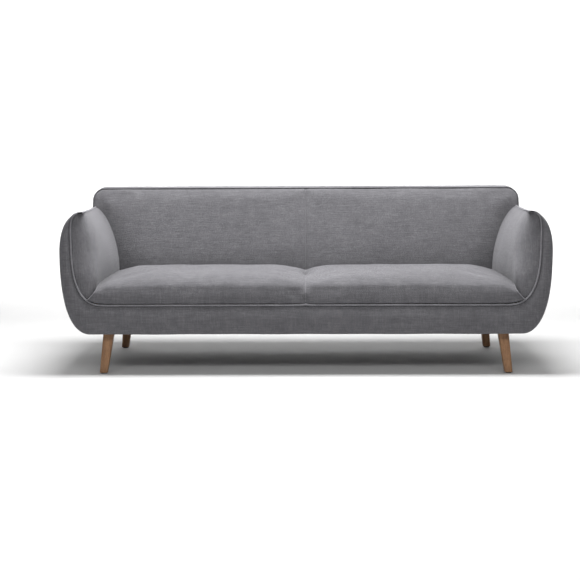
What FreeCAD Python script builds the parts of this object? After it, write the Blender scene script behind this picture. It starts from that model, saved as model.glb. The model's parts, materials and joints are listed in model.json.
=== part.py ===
import FreeCAD, Part
import math
import os

import Sketcher

# An upholstered sofa: a wooden frame with zigzag springs, foam pads, fabric covers and
# four splayed wooden legs. Millimetres. +Z is up, the sofa faces -Y, and +X is to the right
# of someone who stands in front and faces it: left and right are named from there. The
# origin is on the floor, under the middle of the whole sofa.

SIZES = {
    # overall size
    "overall_width": 2100,
    "overall_depth": 850,
    "overall_height": 775,
    # heights above the floor
    "base_height": 175,
    "welt_height": 302,
    "seat_crown": 443,
    "seat_front_top": 424,
    "arm_height": 703,
    "arm_widest": 510,
    # plan
    "seat_depth": 535,
    "arm_inset": 174,
    "frame_inset": 135,
    "back_inset": 35,
    # outer shell
    "base_inset": 120,
    "base_corner": 85,
    "base_corner_turn": 75,
    "arm_top_inset": 105,
    "arm_top_corner": 100,
    "arm_top_turn": 8,
    "shell_thickness": 6,
    "front_lip": 54,
    # upholstery
    "pad_overhang": 10,
    "seat_nose": 65,
    "seat_crown_radius": 1700,
    "seat_rear_drop": 20,
    "cover_thickness": 3,
    "front_padding": 14,
    "back_lean": 17,
    "back_thickness": 75,
    "back_corner": 65,
    "back_lift": 1,
    "back_pad_top": 15,
    "rear_lean_depth": 65,
    "arm_pad_depth": 110,
    "arm_pad_front_gap": 6,
    "arm_pad_ridge_gap": 5,
    "arm_pad_outer_gap": 10,
    "arm_pad_bend_drop": 43,
    "arm_pad_slope": 20,
    "arm_pad_radius": 500,
    "arm_flare": 84,
    "welt_radius": 4,
    "welt_proud": 3,
    "welt_ridge_inset": 1,
    "clearance": 0.3,
    # frame
    "board": 25,
    "rear_gap": 7,
    "deck_drop": 12,
    "block_width": 80,
    "block_depth": 85,
    "block_height": 70,
    "centre_rail_height": 70,
    "rib_thickness": 18,
    "rib_setback": 11,
    "rib_back_gap": 10,
    "bent_board": 3,
    "top_rail_width": 30,
    "post_depth": 70,
    "post_top": 735,
    "post_lean_depth": 75,
    "post_front_step": 10,
    "post_back_gap": 20,
    "post_inset": 7,
    "tuck_rail_height": 310,
    "tuck_rail_width": 40,
    "back_rail_height": 25,
    "bolt_radius": 4,
    "bolt_head_radius": 9,
    "bolt_head_height": 5,
    # suspension
    "wire_radius": 1.85,
    "spring_width": 70,
    "spring_pitch": 38,
    "spring_gap": 2,
    "springs_each_side": 4,
    "clip_length": 20,
    "clip_depth": 14,
    "clip_height": 7,
    "felt_gap": 5,
    "strap_width": 60,
    "strap_thickness": 1.5,
    "straps_each_side": 4,
    # legs
    "leg_top_width": 46,
    "leg_foot_width": 34,
    "leg_top_rounding": 8,
    "leg_foot_rounding": 6,
    "leg_splay_side": 22,
    "leg_splay_fore": 26,
    "foot_side_inset": 175,
    "foot_front_inset": 59,
    "foot_rear_inset": 125,
    "glide_height": 5,
    "glide_radius": 13,
    "plate_size": 60,
    "plate_thickness": 3,
    "hanger_radius": 4,
    "hanger_in_leg": 35,
    "hanger_in_block": 28,
    "screw_radius": 2.2,
    "screw_length": 20,
    "screw_spacing": 44,
    "thread_fit": 0.1,
    "relief_width": 3,
    "relief_depth": 4,
    "pilot_relief": 2,
    # dust cover
    "dust_cover_thickness": 1,
    "dust_cover_gap": 5,
    # how far a cutting shape runs past what it cuts
    "margin": 1,
}

doc = FreeCAD.newDocument("Sofa")
sheet = doc.addObject("Spreadsheet::Sheet", "Sizes")
for row, (alias, amount) in enumerate(SIZES.items(), start=1):
    sheet.set(f"A{row}", alias)
    sheet.set(f"B{row}", str(amount))
    sheet.setAlias(f"B{row}", alias)
doc.recompute()

nodes = []
X_AXIS = FreeCAD.Vector(1, 0, 0)
Y_AXIS = FreeCAD.Vector(0, 1, 0)


def size(name):
    """The expression that reads one cell of the sheet."""
    return f"Sizes.{name}"


def value(expression):
    return float(sheet.evalExpression(str(expression)))


# Places that several pieces share, as expressions over the sheet
HALF_WIDTH = f"({size('overall_width')} / 2)"
FRONT = f"({size('pad_overhang')} - {size('overall_depth')} / 2)"
REAR = f"({size('overall_depth')} / 2)"
RAIL_BOTTOM = f"({size('base_height')} + {size('plate_thickness')})"
RAIL_TOP = f"({size('welt_height')} - {size('deck_drop')})"
RAIL_HEIGHT = f"({RAIL_TOP} - {RAIL_BOTTOM})"
FRAME_FRONT = f"({FRONT} + {size('cover_thickness')} + {size('front_padding')})"
REAR_BASE = f"({REAR} - {size('rear_lean_depth')})"
FRAME_REAR = f"({REAR_BASE} - {size('cover_thickness')} - {size('rear_gap')})"
FRAME_HALF = f"({HALF_WIDTH} - {size('frame_inset')})"
ARM_INSIDE = f"({HALF_WIDTH} - {size('arm_inset')})"
BACK_HALF = f"({HALF_WIDTH} - {size('back_inset')})"
BACK_FACE = f"({size('seat_depth')} - {size('overall_depth')} / 2)"
DECK = f"({size('welt_height')} + {size('welt_radius')})"
# a back pad starts where its rear lower corner just clears the deck
BACK_LIFT = f"({size('back_thickness')} * tan({size('back_lean')}) + {size('back_lift')})"
BACK_PAD_TOP = (
    f"(({size('overall_height')} - {size('back_pad_top')} - {DECK}) / cos({size('back_lean')}))"
)
SEAM_GAP = f"(3 * {size('clearance')})"
REAR_TURN = (
    f"atan({size('rear_lean_depth')} / ({size('overall_height')} - {size('base_height')}))"
)
REAR_PANEL_HEIGHT = (
    f"(({size('overall_height')} - {size('base_height')}) / cos({REAR_TURN})"
    f" - {size('shell_thickness')} * tan({REAR_TURN}))"
)
WIRE_HEIGHT = f"({RAIL_TOP} + {size('clip_height')} / 2)"
SHELL_FOOT_X = f"({HALF_WIDTH} - {size('base_inset')})"
SHELL_TOP_X = f"({HALF_WIDTH} - {size('arm_top_inset')})"
SHELL_TOP_Z = f"({size('arm_height')} - {size('arm_top_corner')})"
MOUTH_X = f"({SHELL_FOOT_X} - {size('base_corner')} / 2)"
MOUTH_Z = f"({size('welt_height')} + {size('base_corner')})"


def keep(obj):
    """Take an object as one of the sofa's sub-parts."""
    nodes.append(obj)
    return obj


def new_body(label):
    body = doc.addObject("PartDesign::Body", label)
    body.Label = label
    return body


def plane_of(body, role):
    return next(o for o in body.Origin.OriginFeatures if o.Role == role)


def empty_sketch(body, name, role, lift="0"):
    """A sketch on one of the body's origin planes, lifted along that plane's normal."""
    sketch = body.newObject("Sketcher::SketchObject", name)
    sketch.AttachmentSupport = [(plane_of(body, role), "")]
    sketch.MapMode = "FlatFace"
    sketch.setExpression("AttachmentOffset.Base.z", str(lift))
    return sketch


def arc_middle(start, end, radius):
    """The middle of the shorter arc; a positive radius bulges to the right of the way."""
    chord = end - start
    sagitta = abs(radius) - math.sqrt(radius * radius - chord.Length**2 / 4)
    right = FreeCAD.Vector(chord.y, -chord.x, 0).normalize()
    return (start + end) / 2 + right * (sagitta if radius > 0 else -sagitta)


def outline(body, name, role, corners, lift="0"):
    """A closed outline. A corner is (across, up) or (across, up, radius of the arc to the next)."""
    sketch = empty_sketch(body, name, role, lift)
    points = [FreeCAD.Vector(value(c[0]), value(c[1]), 0) for c in corners]
    ends = []
    for i, corner in enumerate(corners):
        start = points[i]
        end = points[(i + 1) % len(corners)]
        if len(corner) == 2:
            sketch.addGeometry(Part.LineSegment(start, end), False)
            ends.append((1, 2))
            continue
        radius = value(corner[2])
        middle = arc_middle(start, end, radius)
        # an arc in a sketch always runs anticlockwise
        if radius > 0:
            sketch.addGeometry(Part.Arc(start, middle, end), False)
            ends.append((1, 2))
        else:
            sketch.addGeometry(Part.Arc(end, middle, start), False)
            ends.append((2, 1))
    for i, corner in enumerate(corners):
        after = (i + 1) % len(corners)
        join = ("Coincident", i, ends[i][1], after, ends[after][0])
        sketch.addConstraint(Sketcher.Constraint(*join))
        for direction, expression in (("DistanceX", corner[0]), ("DistanceY", corner[1])):
            bind(sketch, (direction, -1, 1, i, ends[i][0]), expression)
        if len(corner) == 3:
            bind(sketch, ("Radius", i), f"abs({corner[2]})")
    return sketch


def bind(sketch, constraint, expression):
    """Add a constraint whose size is an expression over the sheet."""
    index = sketch.addConstraint(Sketcher.Constraint(*constraint, value(expression)))
    sketch.setExpression(f"Constraints[{index}]", str(expression))


def circle(body, name, role, centres, radius, lift="0"):
    """A sketch of one or more equal circles."""
    sketch = empty_sketch(body, name, role, lift)
    for i, (across, up) in enumerate(centres):
        centre = FreeCAD.Vector(value(across), value(up), 0)
        sketch.addGeometry(Part.Circle(centre, FreeCAD.Vector(0, 0, 1), value(radius)), False)
        bind(sketch, ("DistanceX", -1, 1, i, 3), across)
        bind(sketch, ("DistanceY", -1, 1, i, 3), up)
        bind(sketch, ("Radius", i), radius)
    return sketch


def pad(body, sketch, length, reverse=False, midplane=False):
    feature = body.newObject("PartDesign::Pad", "Pad")
    feature.Profile = sketch
    feature.setExpression("Length", str(length))
    feature.Reversed = reverse
    feature.Midplane = midplane
    doc.recompute()
    return feature


def pocket(body, sketch, length, reverse=False, midplane=False):
    """Cut a pocket, and make sure that it took something away."""
    before = body.Shape.Volume
    feature = body.newObject("PartDesign::Pocket", "Pocket")
    feature.Profile = sketch
    feature.setExpression("Length", str(length))
    feature.Reversed = reverse
    feature.Midplane = midplane
    doc.recompute()
    if not body.Shape.Volume < before - 0.01:
        raise RuntimeError(f"the pocket in {body.Label} cut nothing")
    return feature


def box(label, low, high):
    """A Part::Box between two corners, each given as three expressions."""
    solid = doc.addObject("Part::Box", label)
    solid.Label = label
    for prop, letter, start, end in zip(("Length", "Width", "Height"), "xyz", low, high):
        solid.setExpression(prop, f"({end}) - ({start})")
        solid.setExpression(f"Placement.Base.{letter}", str(start))
    return solid


def cylinder(label, centre, radius, length, axis=None):
    """A Part::Cylinder that stands on its centre, or lies along the X or Y axis."""
    solid = doc.addObject("Part::Cylinder", label)
    solid.Label = label
    if axis is not None:
        solid.Placement = FreeCAD.Placement(
            FreeCAD.Vector(), FreeCAD.Rotation(FreeCAD.Vector(0, 0, 1), axis)
        )
    solid.setExpression("Radius", str(radius))
    solid.setExpression("Height", str(length))
    for letter, expression in zip("xyz", centre):
        solid.setExpression(f"Placement.Base.{letter}", str(expression))
    return solid


def group(label, members):
    """Identical small pieces, as separate solids of one sub-part."""
    compound = doc.addObject("Part::Compound", label)
    compound.Label = label
    compound.Links = members
    return keep(compound)


def cut(label, base, tool):
    result = doc.addObject("Part::Cut", label)
    result.Label = label
    result.Base = base
    result.Tool = tool
    return result


def fuse(label, members):
    result = doc.addObject("Part::MultiFuse", label)
    result.Label = label
    result.Shapes = members
    return result


def place(obj, across, along, up, lean=None):
    """Put an object at a point, leaning back by an angle about the X axis."""
    if lean is not None:
        obj.Placement = FreeCAD.Placement(
            FreeCAD.Vector(), FreeCAD.Rotation(FreeCAD.Vector(-1, 0, 0), value(lean))
        )
        obj.setExpression("Placement.Rotation.Angle", str(lean))
    for letter, expression in zip("xyz", (across, along, up)):
        obj.setExpression(f"Placement.Base.{letter}", str(expression))


SIDES = (("left", -1), ("right", 1))


# The seat frame: four rails round the seat, one across its middle, and corner blocks
def seat_frame():
    front_rail = box(
        "front_rail",
        (f"-{FRAME_HALF}", FRAME_FRONT, RAIL_BOTTOM),
        (FRAME_HALF, f"{FRAME_FRONT} + {size('board')}", RAIL_TOP),
    )
    keep(front_rail)
    rear_rail = new_body("rear_rail")
    rail = outline(
        rear_rail,
        "RailOutline",
        "XZ_Plane",
        (
            (f"-{FRAME_HALF}", RAIL_BOTTOM),
            (FRAME_HALF, RAIL_BOTTOM),
            (FRAME_HALF, RAIL_TOP),
            (f"-{FRAME_HALF}", RAIL_TOP),
        ),
        f"-{FRAME_REAR}",
    )
    pad(rear_rail, rail, size("board"))
    holes = circle(
        rear_rail, "BoltHoles", "XZ_Plane", bolt_places(), BOLT_HOLE, f"-{FRAME_REAR}"
    )
    pocket(rear_rail, holes, size("board"), reverse=True)
    keep(rear_rail)
    inside_front = f"({FRAME_FRONT} + {size('board')})"
    inside_rear = f"({FRAME_REAR} - {size('board')})"
    for name, side in SIDES:
        outer = f"{side} * {FRAME_HALF}"
        inner = f"{side} * ({FRAME_HALF} - {size('board')})"
        low, high = (outer, inner) if side < 0 else (inner, outer)
        rail = box(
            f"side_rail_{name}",
            (low, inside_front, RAIL_BOTTOM),
            (high, inside_rear, RAIL_TOP),
        )
        keep(rail)
    half_board = f"{size('board')} / 2"
    centre_rail = box(
        "centre_rail",
        (f"-{half_board}", inside_front, RAIL_BOTTOM),
        (half_board, f"{inside_rear} - {size('post_depth')}",
         f"{RAIL_BOTTOM} + {size('centre_rail_height')}"),
    )
    keep(centre_rail)
    blocks = []
    for leg in LEGS:
        blocks.append(corner_block(leg, inside_front, inside_rear))
    group("corner_blocks", blocks)


def corner_block(leg, inside_front, inside_rear):
    """A block in one corner of the seat frame, with holes for its leg's fittings."""
    name, side, fore = leg
    inside = f"({FRAME_HALF} - {size('board')})"
    across = (f"{side} * {inside}", f"{side} * ({inside} - {size('block_width')})")
    if fore < 0:
        along = (inside_front, f"{inside_front} + {size('block_depth')}")
    else:
        along = (f"{inside_rear} - {size('block_depth')}", inside_rear)
    body = new_body(f"corner_block_{name}")
    section = outline(
        body,
        "BlockOutline",
        "XY_Plane",
        (
            (across[0], along[0]),
            (across[1], along[0]),
            (across[1], along[1]),
            (across[0], along[1]),
        ),
        RAIL_BOTTOM,
    )
    pad(body, section, size("block_height"))
    centre = leg_top(leg)
    relief = circle(
        body, "BoltRelief", "XY_Plane", (centre,),
        f"{size('hanger_radius')} + {size('relief_width')}",
        RAIL_BOTTOM,
    )
    pocket(body, relief, f"{size('hanger_in_block')} + {size('relief_depth')}", reverse=True)
    pilots = circle(
        body, "ScrewPilots", "XY_Plane", screw_places(leg), SCREW_HOLE, RAIL_BOTTOM
    )
    pocket(body, pilots, f"{size('screw_length')} + {size('pilot_relief')}", reverse=True)
    return body


# Legs and their fittings
LEGS = (
    ("front_left", -1, -1),
    ("front_right", 1, -1),
    ("rear_left", -1, 1),
    ("rear_right", 1, 1),
)
SCREW_HOLE = f"({size('screw_radius')} + {size('thread_fit')})"
BOLT_HOLE = f"({size('bolt_radius')} + {size('clearance')})"


def foot(leg):
    """Where the middle of a leg's foot stands on the floor."""
    name, side, fore = leg
    across = f"{side} * ({HALF_WIDTH} - {size('foot_side_inset')})"
    if fore < 0:
        along = f"({size('foot_front_inset')} - {size('overall_depth')} / 2)"
    else:
        along = f"({size('overall_depth')} / 2 - {size('foot_rear_inset')})"
    return across, along


def leg_top(leg):
    """The middle of a leg's top, which leans in from the foot both ways."""
    name, side, fore = leg
    across, along = foot(leg)
    return (
        f"({across} - {side} * {size('leg_splay_side')})",
        f"({along} - {fore} * {size('leg_splay_fore')})",
    )


def screw_places(leg):
    across, along = leg_top(leg)
    half = f"{size('screw_spacing')} / 2"
    return [(f"{across} {i} {half}", f"{along} {j} {half}") for i in "+-" for j in "+-"]


def square(body, name, centre, width, lift, rounding=None):
    """A square outline about a centre, with its corners rounded if a radius is given."""
    across, along = centre
    half = f"{width} / 2"
    corners = []
    for i, j in ((-1, -1), (1, -1), (1, 1), (-1, 1)):
        if rounding is None:
            corners.append((f"{across} + {i} * {half}", f"{along} + {j} * {half}"))
            continue
        inner = f"({half} - {rounding})"
        beside_x = (f"{across} + {i} * {half}", f"{along} + {j} * {inner}")
        beside_y = (f"{across} + {i} * {inner}", f"{along} + {j} * {half}")
        first, second = (beside_x, beside_y) if i == j else (beside_y, beside_x)
        corners.append((*first, rounding))
        corners.append(second)
    return outline(body, name, "XY_Plane", corners, lift)


def wooden_leg(leg):
    """A square leg that tapers and leans outwards, with rounded edges and a bolt hole."""
    body = new_body(f"leg_{leg[0]}")
    top = square(
        body, "Top", leg_top(leg), size("leg_top_width"), size("base_height"),
        size("leg_top_rounding"),
    )
    bottom = square(
        body, "Bottom", foot(leg), size("leg_foot_width"), size("glide_height"),
        size("leg_foot_rounding"),
    )
    loft = body.newObject("PartDesign::AdditiveLoft", "Taper")
    loft.Profile = bottom
    loft.Sections = [top]
    doc.recompute()
    hole = circle(
        body,
        "BoltHole",
        "XY_Plane",
        (leg_top(leg),),
        f"{size('hanger_radius')} + {size('thread_fit')}",
        size("base_height"),
    )
    pocket(body, hole, f"{size('hanger_in_leg')} + {size('pilot_relief')}")
    keep(body)


def leg_plate(leg):
    body = new_body(f"leg_plate_{leg[0]}")
    section = square(body, "Plate", leg_top(leg), size("plate_size"), size("base_height"))
    pad(body, section, size("plate_thickness"))
    holes = circle(
        body, "ScrewHoles", "XY_Plane", screw_places(leg), SCREW_HOLE, size("base_height")
    )
    pocket(body, holes, size("plate_thickness"), reverse=True)
    hole = circle(
        body, "BoltHole", "XY_Plane", (leg_top(leg),), BOLT_HOLE, size("base_height")
    )
    pocket(body, hole, size("plate_thickness"), reverse=True)
    return body


def legs_and_fittings():
    glides, plates, bolts, screws = [], [], [], []
    for leg in LEGS:
        name = leg[0]
        wooden_leg(leg)
        across, along = foot(leg)
        glides.append(
            cylinder(f"glide_{name}", (across, along, "0"), size("glide_radius"),
                     size("glide_height"))
        )
        plates.append(leg_plate(leg))
        across, along = leg_top(leg)
        bottom = f"{size('base_height')} - {size('hanger_in_leg')}"
        length = f"{size('hanger_in_leg')} + {size('plate_thickness')} + {size('hanger_in_block')}"
        bolts.append(
            cylinder(f"hanger_{name}", (across, along, bottom), size("hanger_radius"), length)
        )
        for i, (at_x, at_y) in enumerate(screw_places(leg), start=1):
            screws.append(
                cylinder(f"screw_{name}_{i}", (at_x, at_y, size("base_height")),
                         size("screw_radius"), size("screw_length"))
            )
    group("leg_glides", glides)
    group("leg_plates", plates)
    group("hanger_bolts", bolts)
    group("plate_screws", screws)


# The barrel-shaped outer shell of an arm, as seen from the front
def shell_curve(side, inward):
    """The shell's outline from its foot to its top, moved inward by a distance."""
    base_r = f"({size('base_corner')} - ({inward}))"
    top_r = f"({size('arm_top_corner')} - ({inward}))"
    turn, top_turn = size("base_corner_turn"), size("arm_top_turn")
    base_z = f"({size('base_height')} + {size('base_corner')})"
    wide = (f"({HALF_WIDTH} - ({inward}))", size("arm_widest"))
    low = (
        f"({SHELL_FOOT_X} + {base_r} * sin({turn}))",
        f"({base_z} - {base_r} * cos({turn}))",
    )
    high = (
        f"({SHELL_TOP_X} + {top_r} * cos({top_turn}))",
        f"({SHELL_TOP_Z} + {top_r} * sin({top_turn}))",
    )
    return [
        (f"{side} * {SHELL_FOOT_X}", f"({base_z} - {base_r})", f"{side} * {base_r}"),
        (f"{side} * {low[0]}", low[1], f"{side} * {tangent_radius(wide, low)}"),
        (f"{side} * {wide[0]}", wide[1], f"{side} * {tangent_radius(wide, high)}"),
        (f"{side} * {high[0]}", high[1], f"{side} * {top_r}"),
        (f"{side} * {SHELL_TOP_X}", f"({SHELL_TOP_Z} + {top_r})"),
    ]


def tangent_radius(wide, point):
    """The radius of an arc that is upright at the widest point and passes another point."""
    across = f"({wide[0]} - {point[0]})"
    up = f"({wide[1]} - {point[1]})"
    return f"(({across} * {across} + {up} * {up}) / (2 * {across}))"


def reverse_curve(corners):
    """The same run of corners walked the other way, so that its arcs bulge the same way."""
    points = [c[:2] for c in corners][::-1]
    radii = [c[2] if len(c) == 3 else None for c in corners[:-1]][::-1]
    result = []
    for point, radius in zip(points, radii + [None]):
        result.append(point if radius is None else (*point, f"-({radius})"))
    return result


def back_room(name):
    """The leaning space that the back takes up, which the arms are cut to."""
    body = new_body(f"back_room_{name}")
    gap = size("clearance")
    rise = size("overall_height")
    far = f"2 * {size('overall_depth')}"
    face = f"({BACK_FACE} - {gap})"
    corners = (
        (face, DECK),
        (far, DECK),
        (far, f"({DECK} + {rise})"),
        (f"({face} + {rise} * tan({size('back_lean')}))", f"({DECK} + {rise})"),
    )
    section = outline(body, "RoomOutline", "YZ_Plane", corners)
    pad(body, section, f"2 * ({BACK_HALF} + {gap})", midplane=True)
    return body


def rear_slab(name, forward, thickness, low, high):
    """A leaning slab whose front is a distance forward of the back's outside face."""
    slab = doc.addObject("Part::Box", f"rear_slab_{name}")
    slab.setExpression("Length", f"({high}) - ({low})")
    slab.setExpression("Width", str(thickness))
    slab.setExpression("Height", f"3 * {size('overall_height')}")
    drop = size("overall_height")
    along = f"{REAR_BASE} - {drop} * tan({REAR_TURN}) - ({forward}) / cos({REAR_TURN})"
    place(slab, low, along, f"{size('base_height')} - {drop}", REAR_TURN)
    return slab


def arm_shell(name, side):
    """The arm's outside cover: a bent sheet, with a crescent in front and a wall behind."""
    thickness = size("shell_thickness")
    body = new_body(f"arm_sheet_{name}")
    outer = shell_curve(side, "0")
    inner = reverse_curve(shell_curve(side, thickness))
    sheet_outline = outline(body, "SheetOutline", "XZ_Plane", outer + inner, f"-{FRONT}")
    pad(body, sheet_outline, f"{REAR} - {FRONT}", reverse=True)
    face = outer + reverse_curve(front_mouth(side))
    crescent = outline(body, "CrescentOutline", "XZ_Plane", face, f"-{FRONT}")
    pad(body, crescent, size("cover_thickness"), reverse=True)
    depth = size("overall_depth")
    beside = f"({BACK_HALF} + {size('clearance')})"
    ahead = f"({thickness} + {size('clearance')})"
    rooms = [
        back_room(f"shell_{name}"),
        rear_slab(f"shell_{name}", "0", depth, f"-{HALF_WIDTH}", HALF_WIDTH),
        rear_slab(f"panel_{name}", ahead, depth, f"-{beside}", beside),
    ]
    rooms = fuse(f"cut_away_{name}", rooms)
    sheet_shape = cut(f"arm_sheet_trimmed_{name}", body, rooms)
    keep(fuse(f"arm_outer_cover_{name}", [sheet_shape, shell_rear_wall(name, side)]))


def shell_rear_wall(name, side):
    """The wall that closes the arm's shell behind, beside the back's outside panel."""
    filled = new_body(f"arm_filled_{name}")
    section = outline(
        filled, "FilledOutline", "XZ_Plane", shell_curve(side, "0"), f"-{BACK_FACE}"
    )
    pad(filled, section, f"{REAR} - {BACK_FACE}", reverse=True)
    thickness = size("shell_thickness")
    low, high = sorted_sides(side, f"({BACK_HALF} + {size('clearance')})", HALF_WIDTH)
    slab = rear_slab(f"wall_{name}", thickness, thickness, low, high)
    wall = doc.addObject("Part::Common", f"arm_rear_wall_{name}")
    wall.Base = filled
    wall.Tool = slab
    return wall


def front_mouth(side):
    """The inner edge of the crescent, just outside the piping on the arm's front."""
    gap = f"({size('welt_radius')} + {size('clearance')})"
    corner = f"({size('base_corner')} + {gap})"
    turn = size("base_corner_turn")
    low = (
        f"({MOUTH_X} + {corner} * sin({turn}))",
        f"({MOUTH_Z} - {corner} * cos({turn}))",
    )
    start_turn = f"asin(({SHELL_FOOT_X} - {MOUTH_X}) / {corner})"
    wide = (f"({HALF_WIDTH} - {size('front_lip')} + {gap})", SHELL_TOP_Z)
    top_end = f"({size('arm_height')} - {size('shell_thickness')})"
    rise = f"({top_end} - {SHELL_TOP_Z})"
    run = f"({wide[0]} - {SHELL_TOP_X})"
    top_radius = f"(({run} * {run} + {rise} * {rise}) / (2 * {run}))"
    return [
        (f"{side} * {SHELL_FOOT_X}", f"({MOUTH_Z} - {corner} * cos({start_turn}))",
         f"{side} * {corner}"),
        (f"{side} * {low[0]}", low[1], f"{side} * {tangent_radius(wide, low)}"),
        (f"{side} * {wide[0]}", wide[1], f"{side} * {top_radius}"),
        (f"{side} * {SHELL_TOP_X}", top_end),
    ]


# The arm's hidden frame: two ribs, a top rail and a thin bent board outside them
def arm_frame(name, side):
    rib_out = f"({size('shell_thickness')} + {size('rib_setback')})"
    inside = f"({HALF_WIDTH} - {size('front_lip')} + 2 * {size('clearance')})"
    rail_side = f"({FRAME_HALF} + {size('clearance')})"
    curve = side_curve(side, rib_out)
    rib_outline = curve + [
        (f"{side} * {inside}", curve[-1][1]),
        (f"{side} * {inside}", RAIL_TOP),
        (f"{side} * {rail_side}", RAIL_TOP),
        (f"{side} * {rail_side}", curve[0][1]),
    ]
    places = (
        ("front", FRAME_FRONT),
        ("rear", f"{BACK_FACE} - {size('rib_thickness')} - {size('rib_back_gap')}"),
    )
    for where, along in places:
        body = new_body(f"arm_{where}_rib_{name}")
        section = outline(body, "RibOutline", "XZ_Plane", rib_outline, f"-({along})")
        pad(body, section, size("rib_thickness"), reverse=True)
        keep(body)
    rail_low = f"{curve[-1][1]} - {size('board')}"
    rib_end = f"{FRAME_FRONT} + {size('rib_thickness')}"
    rail_end = places[1][1]
    low, high = sorted_sides(side, inside, f"({inside} + {size('top_rail_width')})")
    keep(box(f"arm_top_rail_{name}", (low, rib_end, rail_low), (high, rail_end, curve[-1][1])))
    board_in = f"({rib_out} - {size('clearance')})"
    board_out = f"({board_in} - {size('bent_board')})"
    outer = side_curve(side, board_out)
    inner = side_curve(side, board_in)
    blank = new_body(f"arm_outer_board_blank_{name}")
    section = outline(
        blank, "BoardOutline", "XZ_Plane", outer + reverse_curve(inner), f"-{FRAME_FRONT}"
    )
    pad(blank, section, f"{FRAME_REAR} - {FRAME_FRONT}", reverse=True)
    keep(cut(f"arm_outer_board_{name}", blank, back_room(f"board_{name}")))


def side_curve(side, inward):
    """The shell's outline without the turn over the arm's top."""
    curve = shell_curve(side, inward)[:-1]
    return curve[:-1] + [curve[-1][:2]]


def sorted_sides(side, inner, outer):
    """Low and high x of a piece between two distances from the middle."""
    if side > 0:
        return inner, outer
    return f"-({outer})", f"-({inner})"


# Inner arm pads: thin where they meet the piping at the front, swelling towards the back
def arm_pad_section(body, name, side, along, inside, shrink, outer_shrink):
    """One upright section of the pad. Its seat side is moved by shrink towards the frame."""
    gap = size("arm_pad_ridge_gap")
    ridge_x = f"({SHELL_TOP_X} - {gap} + ({shrink}) / 2)"
    ridge_z = f"({size('arm_height')} - {size('shell_thickness')} - {gap} - 1.2 * ({shrink}))"
    outer_gap = f"({size('front_lip')} + {size('arm_pad_outer_gap')} + ({outer_shrink}))"
    outer_x = f"({HALF_WIDTH} - {outer_gap})"
    outer_z = f"({ridge_z} - {size('arm_pad_slope')})"
    face = f"({inside} + ({shrink}))"
    bend = f"({size('seat_crown')} - {size('arm_pad_bend_drop')})"
    low = f"({DECK} + 2 * ({outer_shrink}))"
    corners = (
        (f"{side} * {face}", low),
        (f"{side} * {face}", bend, f"{-side} * {size('arm_pad_radius')}"),
        (f"{side} * {ridge_x}", ridge_z),
        (f"{side} * {outer_x}", outer_z),
        (f"{side} * {outer_x}", low),
    )
    return outline(body, name, "XZ_Plane", corners, f"-({along})")


def arm_pad_body(label, side, shrink, outer_shrink):
    """The pad's solid, moved in from its surface by shrink."""
    body = new_body(label)
    flare = f"({ARM_INSIDE} + {size('arm_flare')})"
    start = f"{FRONT} + {size('cover_thickness')} + {size('arm_pad_front_gap')}"
    stations = (
        (f"{start} + ({shrink})", flare),
        (f"{FRONT} + {size('arm_pad_depth')}", f"({ARM_INSIDE} + {size('arm_flare')} / 5)"),
        (f"{FRONT} + 2.5 * {size('arm_pad_depth')}", ARM_INSIDE),
        (f"{REAR} - ({shrink})", ARM_INSIDE),
    )
    sections = [
        arm_pad_section(body, f"Section{i}", side, along, inside, shrink, outer_shrink)
        for i, (along, inside) in enumerate(stations)
    ]
    loft = body.newObject("PartDesign::AdditiveLoft", "PadLoft")
    loft.Profile = sections[0]
    loft.Sections = sections[1:]
    loft.Ruled = True
    doc.recompute()
    return body


def arm_pads(name, side):
    wall = size("cover_thickness")
    gap = size("clearance")
    blank = arm_pad_body(f"arm_pad_blank_{name}", side, "0", "0")
    hollow = arm_pad_body(f"arm_pad_hollow_{name}", side, wall, f"-2 * {wall}")
    foam = arm_pad_body(f"arm_foam_blank_{name}", side, f"{wall} + {gap}", gap)
    skin = cut(f"arm_skin_{name}", blank, hollow)
    keep(cut(f"arm_inner_cover_{name}", skin, back_room(f"skin_{name}")))
    keep(cut(f"arm_foam_{name}", foam, back_room(f"foam_{name}")))


# Seat pads: a crowned top, a rounded nose and a sloping rear face against the back
def seat_outline(body, name, shrink, floor, lift):
    front = f"({FRONT} - {size('pad_overhang')} + ({shrink}))"
    nose = f"({size('seat_nose')} - ({shrink}))"
    top = f"({size('seat_front_top')} - ({shrink}))"
    rear_top = f"({size('seat_crown')} - {size('seat_rear_drop')} - ({shrink}))"
    lean = f"tan({size('back_lean')})"
    gap = f"({size('clearance')} + ({shrink}))"
    rear_low = f"({BACK_FACE} - {gap})"
    rear_high = f"({BACK_FACE} - {gap} + ({rear_top} - {DECK}) * {lean})"
    corners = (
        (front, floor),
        (front, f"({top} - {nose})", f"-{nose}"),
        (f"({front} + {nose})", top, f"-{size('seat_crown_radius')}"),
        (rear_high, rear_top),
        (rear_low, DECK),
        (rear_low, f"({floor} - {size('margin')} / 2)"),
    )
    return outline(body, name, "YZ_Plane", corners, lift)


def mouth_room(label, side):
    """The space inside the piping, where the seat pad's front corner rounds up to it."""
    body = new_body(label)
    gap = f"({size('welt_radius')} + {size('clearance')})"
    corner = f"({size('base_corner')} - {gap})"
    turn = size("base_corner_turn")
    low = (
        f"({MOUTH_X} + {corner} * sin({turn}))",
        f"({MOUTH_Z} - {corner} * cos({turn}))",
    )
    wide = (f"({HALF_WIDTH} - {size('front_lip')} - {gap})", SHELL_TOP_Z)
    corners = (
        ("0", f"({MOUTH_Z} - {corner})"),
        (f"{side} * {MOUTH_X}", f"({MOUTH_Z} - {corner})", f"{side} * {corner}"),
        (f"{side} * {low[0]}", low[1], f"{side} * {tangent_radius(wide, low)}"),
        (f"{side} * {wide[0]}", wide[1]),
        ("0", wide[1]),
    )
    section = outline(body, "MouthOutline", "XZ_Plane", corners)
    pad(body, section, f"2 * {size('overall_depth')}", midplane=True)
    return body


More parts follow.
